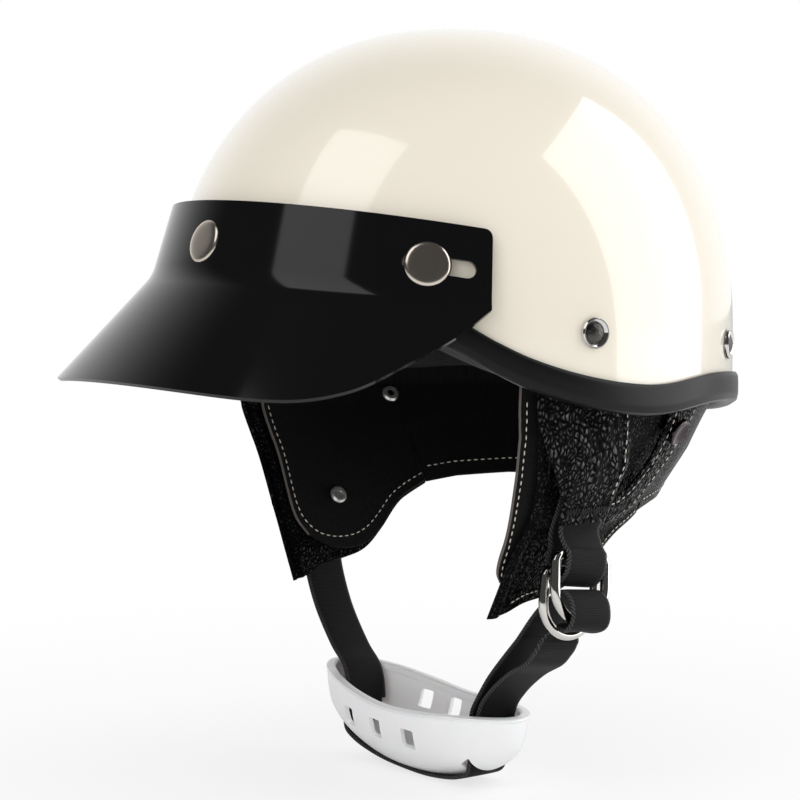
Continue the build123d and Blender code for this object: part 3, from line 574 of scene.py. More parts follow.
# Snaps: pressed steel caps with a flat polished face and a rounded edge. Behind the sheet
# are brass sockets, and on the shell the studs with their washers.
def turned(name, places, profile, body, slot, replaced, steps=64, dent=0.0):
    bm = bmesh.new()
    for origin, normal in places:
        side = normal.cross(Vector((0, 0, 1))).normalized()
        new = [bm.verts.new(origin + side * r + normal * h) for r, h in profile]
        lines = [bm.edges.new(pair) for pair in zip(new, new[1:])]
        bmesh.ops.spin(bm, geom=new + lines, cent=origin, axis=normal, angle=2 * pi,
                       steps=steps, use_merge=True)
    bmesh.ops.remove_doubles(bm, verts=bm.verts, dist=weld)
    bmesh.ops.recalc_face_normals(bm, faces=bm.faces)
    if dent:
        for v in bm.verts:
            v.co += v.normal * dent * noise.noise(v.co * 1400)
    return stand(name, bm, body, slot, replaced)


def visor_normal(angle, z):
    origin = visor_point(angle, z)
    side = visor_point(angle + 0.01, z) - origin
    rise = visor_point(angle, z + 0.0005) - origin
    normal = side.cross(rise).normalized()
    if normal.dot(Vector((sin(angle), -cos(angle), 0))) < 0:
        normal = -normal
    return origin, normal


finish("snap_chrome", (0.68, 0.61, 0.54), 0.22, scale=40, colour_change=0.1,
       roughness_change=0.06, bump=0.02, Metallic=1.0)
cap_profile = [(0, 0.0029), (0.003, 0.00289), (0.0055, 0.00285), (0.0072, 0.00276),
               (0.0082, 0.0026), (0.0089, 0.00232), (0.0094, 0.0019),
               (0.0097, 0.0014), (0.0097, 0.001), (0.0102, 0.001),
               (0.0102, 0.0003), (0.003, 0.0003), (0.003, -0.0024), (0, -0.0024)]
for name, angle, body in (("centre", 0, "visor"), ("left", snap_angle, "left_snap"),
                          ("right", -snap_angle, "right_snap")):
    turned(f"snap_cap_{name}", [visor_normal(angle, snap_level)], cap_profile, body,
           "snap_chrome", [f"visor_cap_{name}"], steps=96)
finish("socket_brass", (0.55, 0.42, 0.2), 0.3, scale=80, colour_change=0.2, Metallic=1.0)
finish("washer_steel", (0.5, 0.5, 0.5), 0.35, scale=80, colour_change=0.2, Metallic=1.0)
dress("socket_brass", "visor_socket_centre", "visor_socket_left", "visor_socket_right")
dress("washer_steel", "shell_stud_centre", "shell_stud_left", "shell_stud_right",
      "stud_washers", "strap_nuts")


# Strap rivets: a polished dished ring with a dark hammered dome in it, two on each side.
def shell_normal(y, z, side):
    shrink = shell_shrink(z)
    x = half_width * shrink * sqrt(1 - (y / (half_length * shrink)) ** 2)
    normal = Vector((side * x / half_width ** 2 / shrink ** (2 - power),
                     y / half_length ** 2 / shrink ** (2 - power),
                     (max(z, 0) / crown) ** (power - 1) / crown))
    return Vector((side * x, y, z)), normal.normalized()


finish("rivet_chrome", (0.68, 0.67, 0.65), 0.1, scale=60, colour_change=0.15,
       roughness_change=0.08, Metallic=1.0)
finish("rivet_dark", (0.09, 0.085, 0.08), 0.3, scale=900, colour_change=0.8,
       roughness_change=0.2, bump=0.8, bump_distance=0.0004, Metallic=1.0)
rivet_places = [shell_normal(y, z, side)
                for y, z in ((-0.0214, 0.0059), (0.0814, -0.0035)) for side in (1, -1)]
turned("rivet_rings", rivet_places,
       [(0.0045, 0.0009), (0.0053, 0.0016), (0.0058, 0.002), (0.0062, 0.002),
        (0.0066, 0.0016), (0.0068, 0.0009), (0.0068, 0.0002), (0.0019, 0.0002),
        (0.0019, -0.0096), (0, -0.0096)], "shell", "rivet_chrome", ["strap_rivets"])
turned("rivet_heads", rivet_places,
       [(0, 0.0025), (0.0009, 0.00246), (0.0018, 0.00232), (0.0027, 0.00205),
        (0.0035, 0.0017), (0.0041, 0.0014), (0.0045, 0.001), (0, 0.001)], "shell",
       "rivet_dark", ["rivet_domes"], steps=40, dent=0.00012)

# Neck curtain: pebbled leather outside and a ribbed lining inside, cut as two ear flaps and
# a nape piece that hang from the liner, with rolled hems and light thread.
drape_levels = [(-0.0000, 0, 0.1079, 0.1278), (-0.031, 0, 0.1079, 0.1278),
                (-0.0379, -0.0048, 0.1065, 0.1282), (-0.0521, -0.013, 0.1003, 0.1316),
                (-0.0839, -0.0252, 0.0866, 0.121), (-0.1265, -0.026, 0.067, 0.0978)]


# Oval of the hanging layers at a level: centre and half axes
def drape_oval(z):
    for upper, lower in zip(drape_levels, drape_levels[1:]):
        if z >= lower[0]:
            break
    part = min((z - upper[0]) / (lower[0] - upper[0]), 1)
    return [u + (v - u) * part for u, v in zip(upper, lower)][1:]


def hang(side_angle, z, outset):
    centre, width, length = drape_oval(z)
    return Vector(((width + outset) * cos(side_angle),
                   centre + (length + outset) * sin(side_angle), z))


def angle_of(y, z):
    centre, width, length = drape_oval(z)
    return asin(min(max((y - centre) / length, -1), 1))


# Patch between four lines, each from 0 to 1
def coons(top, low, front, rear, u, v):
    a = along(top, u) * (1 - v) + along(low, u) * v
    b = along(front, v) * (1 - u) + along(rear, v) * u
    c = ((top[0] * (1 - u) + top[-1] * u) * (1 - v)
         + (low[0] * (1 - u) + low[-1] * u) * v)
    return a + b - c


# Pebbled leather grain: round pebbles in a wandering mesh, over soft upright creases
leather, given, put = group("pebbled_grain", {"Grain": 520.0, "Crease": 0.6},
                            ["Height", "Pebble"])
spot = add_node(leather, "TexCoord", {}).outputs["Object"]
stretch = add_node(leather, "Mapping", {"Scale": (1, 1, 0.62), "Vector": spot})
wander = add_node(leather, "TexNoise", {"Scale": 160, "Vector": stretch}).outputs["Color"]
shift = add_node(leather, "VectorMath", {"Scale": 0.004, 0: wander}, operation="SCALE")
moved = add_node(leather, "VectorMath", {0: stretch, 1: shift})
cells = add_node(leather, "TexVoronoi", {"Vector": moved, "Scale": given["Grain"]},
                 feature="DISTANCE_TO_EDGE").outputs["Distance"]
pebble = ramp(leather, cells, 0, 0.5)
upright = add_node(leather, "Mapping", {"Scale": (1, 1, 0.3), "Vector": spot})
folds = add_node(leather, "TexNoise", {"Scale": 300, "Detail": 1, "Vector": upright})
total = calc(leather, "MULTIPLY_ADD", folds.outputs["Fac"], given["Crease"], pebble)
feed(put, {"Height": total, "Pebble": pebble})


# Leather: the gloss lies on the pebbles' tops and is turned down between them, as painted
# shade in the creases
def hide(slot, colour, roughness, grain, crease, depth, gloss):
    tree, shader, life, relief = finish(slot, colour, roughness, scale=90,
                                        colour_change=0.5, roughness_change=0.1, bump=1.0,
                                        bump_distance=depth)
    skin = add_node(tree, "Group", {"Grain": grain, "Crease": crease}, node_tree=leather)
    feed(relief, {"Height": skin.outputs["Height"]})
    # Specular level falls from the pebble tops into the creases: painted shade
    feed(shader, {"Specular IOR Level": ramp(tree, skin.outputs["Pebble"], 0.15, 0.9, 0.02,
                                             gloss, "LINEAR")})


hide("strap_leather", (0.003, 0.003, 0.0032), 0.3, grain=520, crease=1.8, depth=0.0008,
     gloss=1.0)
hide("curtain_leather", (0.0025, 0.0025, 0.0027), 0.3, grain=680, crease=0.5,
     depth=0.00035, gloss=0.35)

# Length of the wave texture's waves at a scale of one
wave_length = 0.314


# Black cloth with fine ribs across the UV map's length, pitch under a millimetre or so
def ribbed(slot, colour, pitch, depth, roughness=0.8):
    tree, shader, life, relief = finish(slot, colour, roughness, scale=150,
                                        colour_change=0.5, bump=0.7, bump_distance=depth,
                                        Sheen_Weight=0.05, Sheen_Roughness=0.4)
    chart = add_node(tree, "UVMap", {}, uv_map="UVMap").outputs["UV"]
    ribs = add_node(tree, "TexWave", {"Scale": wave_length / pitch, "Distortion": 0.35,
                                      "Vector": chart}, wave_profile="SIN")
    feed(relief, {"Height": ribs.outputs["Fac"]})
    split = add_node(tree, "SeparateXYZ", {0: chart})
    return tree, shader, life, relief, chart, ribs, split


# A colour that goes over to another by a factor
def blended(tree, factor, colour, other):
    return add_node(tree, "Mix", {"Factor": factor, "A": colour, "B": other},
                    data_type="RGBA")


# The lining's cut front edge shows the grey core of the cloth
raw_edge = 0.0007
tree, shader, life, relief, chart, ribs, split = ribbed(
    "curtain_lining", (0.003, 0.003, 0.0032), 0.0012, 0.0002)
raw = calc(tree, "LESS_THAN", split.outputs["X"], raw_edge)
feed(shader, {"Specular IOR Level": 0.2,
              "Base Color": blended(tree, raw, life, (0.12, 0.105, 0.095, 1))})

finishes["thread"], tree, strand = new_material("thread")
life = add_node(tree, "Group", {"Colour": (0.62, 0.58, 0.5, 1), "Scale": 500,
                                "Colour Change": 0.5}, node_tree=surface_life)
feed(strand, {"Roughness": 0.7, "Base Color": life})


# Direction out of the curtain at a point
def outward(point):
    return Vector((point.x / 0.0105, point.y / 0.0149, -0.25
                   * hypot(point.x, point.y) / 0.01)).normalized()


thread_radius = 0.00034


# Points over a ply or panel, straight from one place on its grid by another
def run(place, start, way, count=60, **raised):
    return [place(start[0] + way[0] * k / count, start[1] + way[1] * k / count, **raised)
            for k in range(count + 1)]


# Row of stitches: small thread capsules along points, lifted off the leather or cloth
def stitches(name, points, lift=0.0, facing=1, pitch=0.0034, long=0.0025):
    bm = bmesh.new()
    spots = evenly([p + outward(p) * lift for p in points], 400)
    total = sum((b - a).length for a, b in zip(spots, spots[1:]))
    count = int(total / pitch)
    for k in range(count):
        share = (k + 0.5) / count
        point = along(spots, share)
        way = (along(spots, share + 0.003) - along(spots, share - 0.003)).normalized()
        normal = (outward(point) * facing).normalized()
        third = way.cross(normal)
        for v in bmesh.ops.create_icosphere(bm, subdivisions=1, radius=1)["verts"]:
            c = v.co.copy()
            v.co = point + way * (c.x * long / 2) + third * (c.y * thread_radius) \
                + normal * (c.z * thread_radius * 0.9)
    for face in bm.faces:
        face.smooth = True
    piece = into_scene(name, bm)
    piece.data.materials.append(finishes["thread"])
    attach(piece, "shell")


low_edge = [(-0.04, -0.119), (-0.0315, -0.1168), (-0.023, -0.1131), (-0.009, -0.111),
            (0.0027, -0.1076), (0.014, -0.0992), (0.027, -0.0868), (0.042, -0.0785)]
head_level = -0.0118
# The left leather stands back from its lining and the right lining from its leather
flap_fronts = {
    "left_leather": [(-0.0405, head_level), (-0.0399, -0.0349), (-0.0365, -0.0528),
                     (-0.0335, -0.0717), (-0.0355, -0.0826), (-0.0386, -0.0951),
                     (-0.04, -0.119)],
    "left_inside": [(-0.0475, head_level), (-0.0481, -0.0277), (-0.0476, -0.0416),
                    (-0.0453, -0.0579), (-0.043, -0.0734), (-0.0422, -0.0829),
                    (-0.0422, -0.0919), (-0.041, -0.0985), (-0.0375, -0.1032)],
    "right_leather": [(-0.052, head_level), (-0.0513, -0.0248), (-0.048, -0.0379),
                      (-0.0428, -0.0574), (-0.041, -0.0772), (-0.0399, -0.0962),
                      (-0.04, -0.119)],
    "right_inside": [(-0.0405, head_level), (-0.0385, -0.0386), (-0.0342, -0.0588),
                     (-0.0335, -0.0775), (-0.0325, -0.0901), (-0.0277, -0.0988)]}
lining_low = {
    "left_inside": [(-0.0375, -0.1032), (-0.0275, -0.1075), (-0.0152, -0.1085),
                    (0.0027, -0.106), (0.014, -0.0982), (0.027, -0.0853), (0.042, -0.0772)],
    "right_inside": [(-0.0277, -0.0988), (-0.0152, -0.1053), (-0.0042, -0.1065),
                     (0.0053, -0.104), (0.014, -0.0978), (0.027, -0.0853),
                     (0.042, -0.0772)]}

flat_radius = 0.12
flap_rear = 0.044
flap_width = 0.098
flap_height = 0.09
hem_width = 0.005
ridge_middle = 0.0024
ridge_half = 0.0028
ridge_rise = 0.0022
flap_crease = {"leather": 0.0007, "inside": 0.0002}
# Outset of a ply's outer face, its wall, its hem and the end of the name of its solid
plies = {"leather": (-0.002, 0.0018, 0.0006, ""),
         "inside": (-0.0041, 0.0016, 0.0, "_lining")}


# A line of places and heights on the hanging surface, laid flat
def unrolled(line):
    return evenly([Vector((angle_of(y, z) * flat_radius, z))
                   for y, z in smooth_pairs(line, 60)])


# Top, lower, front and rear line of an ear flap's ply, laid flat
def flap_lines(kind):
    low = lining_low.get(kind, low_edge)
    front = unrolled(flap_fronts[kind])
    rear = unrolled([(flap_rear, head_level), (flap_rear, low[-1][1])])
    return evenly([front[0], rear[0]]), unrolled(low), front, rear


def crease_wave(point, strength):
    return strength * noise.noise(Vector((point.x * 60, point.y * 60, point.z * 22)))


def hem_roll(hem, edge):
    return hem * (1 - min(edge / hem_width, 1) ** 2)


# Dip along a row of stitches at a distance from the edge
def seam_dip(edge, distance, half, depth):
    return -depth * max(0, 1 - abs(edge - distance) / half)


# A ply of the curtain and how it hangs; side says on which face of the grid its wall lies
def hung_ply(name, solid, kind, across, along_it, place, uv, side):
    wall, ending = plies[kind][1], plies[kind][3]
    piece = formed(f"{name}_{kind}", across, along_it, place, "shell",
                   "curtain" + (ending or "_leather"), [solid + ending], uv=uv, wall=wall,
                   wall_side=-side, edge=wall * 0.3)
    return place


# One ply of an ear flap: side 1 is the wearer's left. Leather dips along its stitches and
# has a rolled ridge in front.
def flap_ply(name, side, kind):
    outset, _, hem, _ = plies[kind]
    lines = flap_lines(f"{name}_{kind}")
    is_leather = kind == "leather"

    def place(u, v):
        flat = coons(*lines, u, v)
        edge = min(u * flap_width, (1 - v) * flap_height)
        roll = hem_roll(hem, edge)
        dip = seam_dip(edge, 0.0068, half=0.0012, depth=0.0005) if is_leather else 0
        from_ridge = (u * flap_width - ridge_middle) / ridge_half
        if is_leather and from_ridge < 1:
            roll = ridge_rise * sqrt(max(0, 1 - from_ridge ** 2))
        point = hang(flat.x / flat_radius, flat.y, outset + roll + dip)
        wave = crease_wave(point, flap_crease[kind])
        point = hang(flat.x / flat_radius, flat.y,
                     outset + roll + dip + wave * min(v * 3, 1))
        return Vector((point.x * side, point.y, point.z))

    return hung_ply(f"{name}_flap", f"{name}_ear_flap", kind, 90, 90, place,
                    lambda u, v: (u * flap_width, v * flap_height), side)


sides = (("left", 1), ("right", -1))
for name, side in sides:
    leather_place = flap_ply(name, side, "leather")
    place = flap_ply(name, side, "inside")
    hem_line = run(place, (0.045, 0.12), (0, 0.72), 40)
    hem_line += [place(0.045 + 0.1 * (1 - cos(t)), 0.84 + 0.1 * sin(t))
                 for t in [k * pi / 24 for k in range(1, 13)]]
    hem_line += run(place, (0.145, 0.94), (0.855, 0))[1:]
    stitches(f"{name}_flap_thread_inside", hem_line, -0.0003, facing=-1)
    stitches(f"{name}_flap_thread_hem", run(leather_place, (0.12, 0.965), (0.86, 0)),
             0.0019, pitch=0.0026, long=0.0021)
    if side > 0:
        stitches(f"{name}_flap_thread_front", run(place, (0.036, 0.1), (0, 0.85)), 0.0018)

nape_low = [(0.0, -0.0732), (0.6, -0.0735), (0.85, -0.0752), (1.0, -0.0778)]
nape_height = 0.062
nape_front = 0.0443
nape_crease = 0.0006


# One ply of the nape piece: the curtain's rear part between the two ear flaps
def nape_ply(kind):
    outset, _, hem, _ = plies[kind]

    def place(u, v):
        spread = 2 * u - 1
        z = head_level + (level_at(nape_low, abs(spread)) - head_level) * v
        roll = hem_roll(hem, (1 - v) * nape_height)
        angle = pi / 2 - abs(spread) * (pi / 2 - angle_of(nape_front, z))
        if spread < 0:
            angle = pi - angle
        wave = crease_wave(hang(angle, z, outset + roll), nape_crease)
        return hang(angle, z, outset + roll + wave * min(v * 3, 1))

    return hung_ply("nape", "nape_curtain", kind, 200, 50, place,
                    lambda u, v: (0.002 + u * 0.27, v * nape_height), -1)


stitches("nape_thread", run(nape_ply("leather"), (0.01, 0.93), (0.98, 0), 120), 0.0019)
stitches("nape_thread_inside", run(nape_ply("inside"), (0.01, 0.9), (0.98, 0), 120),
         -0.0003, facing=-1)

# Strap panels: each side has a broad front panel of soft pebbled leather and a slimmer rear
# strap, riveted to the shell and stitched together where the webbing leaves them.
front_outsets = [(-0.1265, 0.0079), (-0.0839, 0.0079), (-0.0521, 0.0079),
                 (-0.0379, 0.0024), (-0.031, 0.0005), (0.02, 0.0005)]
rear_outsets = [(-0.1265, 0.0024), (-0.0839, 0.0024), (-0.0521, 0.0024),
                (-0.0379, 0.0014), (-0.031, 0.0005), (0.02, 0.0005)]

panel_height = 0.09
panel_wall = 0.0018
panel_thread = 0.0021
puff_rise = 0.0007
puff_width = 0.004
fold_width = 0.006


# A strap panel puffed between its seams, its folds running down it
def panel(name, side, front, rear, outsets, replaced, folds, width):
    left, right = unrolled(front), unrolled(rear)
    top = evenly([left[0], right[0]])
    low = evenly([left[-1], right[-1]])

    def place(u, v, lift=0.0):
        flat = coons(top, low, left, right, u, v)
        edge = min(u, 1 - u) * width
        puff = puff_rise * min(edge / puff_width, 1) ** 0.5
        seam = seam_dip(edge, 0.0034, half=0.001, depth=0.0006)
        base = level_at(outsets, flat.y)
        point = hang(flat.x / flat_radius, flat.y, base)
        shape = noise.noise(Vector((point.y * 150, flat.y * 34, side * 7.3)))
        shape += 0.5 * noise.noise(Vector((point.y * 330, flat.y * 90, side * 3.1)))
        wave = folds * shape * min(edge / fold_width, 1) * min(v * 4, 1)
        point = hang(flat.x / flat_radius, flat.y, base + puff + seam + wave + lift)
        return Vector((point.x * side, point.y, point.z))

    formed(name, 70, 110, place, "shell", "strap_leather", replaced,
           uv=lambda u, v: (u * width, v * panel_height), wall=panel_wall,
           wall_side=-side, edge=0.0005)
    return place


# Gives a piece a finish that isn't its slot's
def stand_as(look, piece):
    piece.data.materials[0] = finishes[look]


bead_radius = 0.00035


# Thin six-sided bead of thread along points
def cord_bead(name, points, slot, look):
    bm = bmesh.new()
    for a, b in zip(points, points[1:]):
        way = (b - a).normalized()
        third = way.orthogonal().normalized()
        other = way.cross(third)
        ends = [[bm.verts.new(p + third * (bead_radius * cos(t))
                              + other * (bead_radius * sin(t)))
                 for t in [k * pi / 3 for k in range(6)]] for p in (a, b)]
        for k in range(6):
            bm.faces.new((ends[0][k], ends[0][k - 1], ends[1][k - 1], ends[1][k]))
        for ring in ends:
            bm.faces.new(ring)
    stand_as(look, stand(name, bm, "shell", slot))


# Angle of a strap's side at a level, moved along by a gap
def strap_side(line, z, gap):
    return angle_of(level_at(sorted((b, a) for a, b in line), z) + gap, z)


finish("tack_thread", (0.003, 0.003, 0.003), 0.5, scale=400, colour_change=0.4,
       Specular_IOR_Level=0.25)
front_left_line = [(-0.037, 0.0125), (-0.0395, -0.008), (-0.0415, -0.026),
                   (-0.0378, -0.0446), (-0.0275, -0.0645), (-0.0245, -0.0763)]
front_right_line = [(-0.0068, 0.0125), (-0.0014, -0.01), (0.0062, -0.026), (0.0041, -0.0496),
                    (0.0015, -0.0645), (0.0012, -0.0763)]
rear_low_line = [(0.0877, 0.0137), (0.0987, -0.0025), (0.0905, -0.0112), (0.0617, -0.0229),
                 (0.0548, -0.0335), (0.0411, -0.0558), (0.0288, -0.0719), (0.0151, -0.0787),
                 (-0.0035, -0.0791)]
rear_high_line = [(0.0713, 0.0079), (0.0452, -0.0124), (0.0343, -0.0291), (0.0274, -0.0533),
                  (0.0137, -0.0682), (-0.0035, -0.0694)]
strip_gap = 0.0006
strip_top = -0.0075
strip_depth = 0.0017
strip_half_depth = 0.001
strip_over_rim = 0.0034
strip_rear_reach = 0.135
strip_front_line = [(-0.0501, -0.1), (-0.0501, 0.1)]
# Each length of the strip between two straps, and whether it runs round the back
strip_spans = ((strip_front_line, front_left_line, False),
               (front_right_line, rear_high_line, False), (rear_low_line, rear_low_line, True))


# A round section's share drawn out towards a box
def boxed(share, softness):
    return copysign(abs(share) ** softness, share)


# Foam strip in black cloth between the edge trim and the curtain, beside the straps
def strip_lengths():
    bm = bmesh.new()
    for start, end, around in strip_spans:
        for side in ((1,) if around else (1, -1)):
            new = bmesh.ops.create_grid(bm, x_segments=110 if around else 30,
                                        y_segments=24, size=0.5)["verts"]
            for v in new:
                u, share = v.co.x + 0.5, (v.co.y + 0.5) * 2 * pi
                out = strip_depth + strip_half_depth * boxed(cos(share), 0.6)
                low, z = -0.02, -0.02
                for _ in range(4):
                    z = (strip_top + low) / 2 + (strip_top - low) / 2 * boxed(sin(share), 0.6)
                    first = strap_side(start, z, strip_gap)
                    last = pi - first if around else strap_side(end, z, -strip_gap)
                    angle = first + (last - first) * u
                    rear = min(hang(angle, z, out).y, strip_rear_reach)
                    low = level_at(rim_fine, rear) + strip_over_rim
                spot = hang(angle, z, out)
                v.co = Vector((spot.x * side, spot.y, spot.z))
    bmesh.ops.remove_doubles(bm, verts=bm.verts, dist=weld)
    bmesh.ops.holes_fill(bm, edges=[e for e in bm.edges if e.is_boundary], sides=0)
    return bm


for name, side in sides:
    place = panel(f"{name}_front_panel", side, front_left_line, front_right_line,
                  front_outsets, [f"{name}_front_strap"], folds=0.0012, width=0.036)
    stitches(f"{name}_panel_thread", run(place, (0.93, 0.25), (0, 0.63), lift=panel_thread),
             pitch=0.0038)
    zigzag = [place(0.06 + 0.88 * k / 30, 0.925 + 0.04 * (k % 2), panel_thread)
              for k in range(31)]
    cord_bead(f"{name}_panel_bartack", zigzag, "strap_leather", "tack_thread")
    place = panel(f"{name}_rear_panel", side, rear_high_line, rear_low_line, rear_outsets,
                  [f"{name}_rear_strap"], folds=0.0003, width=0.02)
    for edge_name, u in (("upper", 0.14), ("lower", 0.86)):
        stitches(f"{name}_rear_thread_{edge_name}",
                 run(place, (u, 0.3), (0, 0.66), lift=panel_thread))

strip = stand("curtain_foam_strip", strip_lengths(), "shell", "strip_foam",
              ["curtain_strip"])

# Flap snaps: dished chrome buttons on the rear straps, their dark reflection painted into a
# dark metal colour, lower posts, and plated rings inside.
finish("ring_chrome", (0.7, 0.68, 0.65), 0.09, scale=60, colour_change=0.2,
       roughness_change=0.06, Metallic=1.0)
# Dark metal colour standing in for the chrome's dark reflection: painted reflection
finish("button_dark_painted_reflection", (0.07, 0.055, 0.06), 0.16, scale=300, colour_change=0.4,
       roughness_change=0.1, Metallic=1.0)
stand_as("button_dark_painted_reflection", turned(
    "flap_button_caps",
    [(Vector((side * 0.1032, 0.04107, -0.03994)),
      Vector((side * 0.842, 0.261, -0.473)).normalized()) for side in (1, -1)],
    [(0, 0.0009), (0.0022, 0.001), (0.0038, 0.0014), (0.005, 0.0021), (0.0056, 0.0023),
     (0.0062, 0.0019), (0.0064, 0.0011), (0.0063, 0.0002), (0.0018, 0.0001),
     (0.0018, -0.0095), (0, -0.0095)], "shell", "rivet_chrome", ["flap_buttons"]))
finish("snap_nickel", (0.75, 0.74, 0.72), 0.3, scale=200, colour_change=0.2,
       roughness_change=0.15, Metallic=0.85)
dress("snap_nickel", "flap_posts", "flap_rings")

# Webbing: black nylon tape with fine cross ribs and thicker, lighter braided edges. The loop
# in the left seam carries the two rings, and the chin strap runs from the cup up through both
# rings, back through the first and down again beside itself.
tree, shader, life, relief, chart, ribs, split = ribbed(
    "webbing", (0.005, 0.005, 0.0053), 0.0007, 0.00014, 0.6)
braid = add_node(tree, "TexWave", {"Scale": 380, "Vector": chart},
                 bands_direction="DIAGONAL").outputs["Fac"]
selvedge = ramp(tree, calc(tree, "ABSOLUTE", split.outputs["Y"]), 0.0098, 0.0102,
                kind="LINEAR")
pick = add_node(tree, "Mix", {"Factor": selvedge, "A": ribs.outputs["Fac"], "B": braid},
                data_type="FLOAT")
feed(relief, {"Height": pick})
strands = calc(tree, "MULTIPLY", selvedge, braid)
feed(shader, {"Sheen Weight": 0.03, "Specular IOR Level": 0.16,
              "Base Color": blended(tree, strands, life, (0.06, 0.06, 0.062, 1))})

tape_wall = 0.0018
tape_width = 0.023
tape_step = 0.0012
tape_end = 0.004
bend_reach = 0.012
selvedge_from = 0.86
selvedge_bulge = 1.12
cupping = 0.006


# Section of the tape at a share of its outline: flat faces and rounded sides
def tape_section(v):
    return boxed(cos(v * 2 * pi), 0.35), boxed(sin(v * 2 * pi), 0.75)


# Places in an upright plane across the helmet, given as shares of a unit
def on_plane(shares, origin, up, unit):
    return [origin + Vector((x * unit, 0, 0)) + up * (y * unit) for x, y in shares]


ring_lean = radians(8)
ring_origin = Vector((0.092, -0.0095, -0.0985))
ring_up = Vector((0, sin(ring_lean), cos(ring_lean)))
ring_bar = Vector((0, -cos(ring_lean), sin(ring_lean)))
ring_unit = 0.0286
strap_lean = radians(4.8)
strap_origin = Vector((0, -0.017, -0.172))
strap_up = Vector((0, sin(strap_lean), cos(strap_lean)))
strap_wide = Vector((0, -cos(strap_lean), sin(strap_lean)))
cup_unit = 0.063


def by_ring(shares):
    return on_plane(shares, ring_origin, ring_up, ring_unit)


def by_cup(shares):
    return on_plane(shares, strap_origin, strap_up, cup_unit)


# Tape swept along points, its width along a direction that may turn from start to end. It
# rides with one body, or with none, its transform baked into the mesh.
def tape(name, points, replaced, wide=strap_wide, wide_end=None, width=tape_width, body=None,
         joined=None, pinch=None):
    spots = smooth_line(points, 200)
    total = sum((b - a).length for a, b in zip(spots, spots[1:]))

    def place(u, v):
        u = min(max((u - tape_end) / (1 - 2 * tape_end), 0), 1)
        point = along(spots, u)
        way = (along(spots, u + bend_reach) - along(spots, u - bend_reach)).normalized()
        across = wide.lerp(wide_end or wide, u)
        across = (across - way * across.dot(way)).normalized()
        normal = across.cross(way)
        flat, high = tape_section(v)
        narrow = pinch(u) if pinch else 1.0
        bulge = selvedge_bulge if abs(flat) > selvedge_from else 1.0
        hollow = (1 - narrow) * cupping * (flat * flat - 0.3)
        return point + across * (flat * width / 2 * narrow) \
            + normal * (high * tape_wall / 2 * bulge + hollow)

    piece = formed(name, max(40, int(total / tape_step)), 40, place, body, "webbing",
                   replaced, uv=lambda u, v: (u * total, tape_section(v)[0] * width / 2))
    bm = bmesh.new()
    bm.from_mesh(piece.data)
    bmesh.ops.holes_fill(bm, edges=[e for e in bm.edges if e.is_boundary], sides=0)
    bmesh.ops.recalc_face_normals(bm, faces=bm.faces)
    bm.to_mesh(piece.data)
    bm.free()
    if joined:
        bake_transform(piece)


# Points down the seam between flap and strap, where the webbing is sewn in
def seam_leg(outset, levels):
    return [hang(angle_of(ring_origin.y, z), z, outset) for z in levels]


inner_leg = seam_leg(0.0012, (-0.064, -0.073, -0.081))
outer_leg = seam_leg(0.0065, (-0.081, -0.073, -0.064))
bight = by_ring([(-0.185, 0.36), (-0.22, 0.24), (-0.22, 0), (0, -0.22), (0.22, 0),
                 (0.22, 0.27), (0.13, 0.37)])
tape("ring_webbing", inner_leg + bight + outer_leg, ["left_ring_loop"], ring_bar,
     width=0.0236,
     joined=("shell", "chin_harness", (0.09, -0.0095, -0.077), (0.09, -0.0095, -0.0885)))

main_run = by_cup([(0.683, -0.05), (0.702, 0.087), (0.751, 0.183), (0.825, 0.302),
                   (0.897, 0.397), (1.024, 0.54), (1.133, 0.658)])
over_rings = by_ring([(-0.448, -0.787), (-0.227, -0.545), (0, -0.372),
                      (0.19, -0.3), (0.385, -0.43), (0.455, -0.66), (0.4, -0.815),
                      (0.245, -0.878), (-0.04, -0.846), (-0.148, -0.955),
                      (-0.172, -1.09), (-0.23, -1.21)])
tail_run = by_cup([(1.3, 0.56), (1.23, 0.492), (1.079, 0.41), (0.96, 0.322),
                   (0.862, 0.229), (0.786, 0.124), (0.746, -0.05)])
harness_to_cup = ("chin_harness", "cup", (0.08, -0.015, -0.132), (0.05, -0.017, -0.166))
tape("chin_strap_main", main_run + [main_run[-1].lerp(over_rings[0], 0.2)],
     ["chin_strap_left"], joined=harness_to_cup)
tape("chin_strap_threaded", [main_run[-1]] + over_rings, ["strap_wrap"], strap_wide, ring_bar,
     body="chin_harness",
     pinch=lambda u: 1 - 0.42 * max(0, 1 - ((u - 0.83) / 0.13) ** 2) ** 1.5)
tape("chin_strap_tail", over_rings[-2:] + tail_run, ["strap_tail"], ring_bar, strap_wide,
     joined=harness_to_cup)

right_run = by_cup([(-1.429, 1.167), (-1.381, 1.03), (-1.325, 0.857), (-1.175, 0.595),
                    (-0.955, 0.34), (-0.8, 0.21), (-0.735, 0.1), (-0.7, -0.05)])
right_leg = [Vector((-p.x, p.y, p.z)) for p in seam_leg(0.0065, (-0.064, -0.072, -0.08))]
right_top = by_cup([(-1.457, 1.333), (-1.432, 1.172)])
tape("right_seam_webbing", right_leg + right_top, ["right_strap_anchor"],
     joined=("shell", "chin_harness", (-0.09, -0.0095, -0.082), (-0.09, -0.0095, -0.096)))
tape("chin_strap_right_run", [right_top[-1]] + right_run, ["chin_strap_right"],
     joined=("chin_harness", "cup", (-0.085, -0.012, -0.12), (-0.05, -0.017, -0.163)))

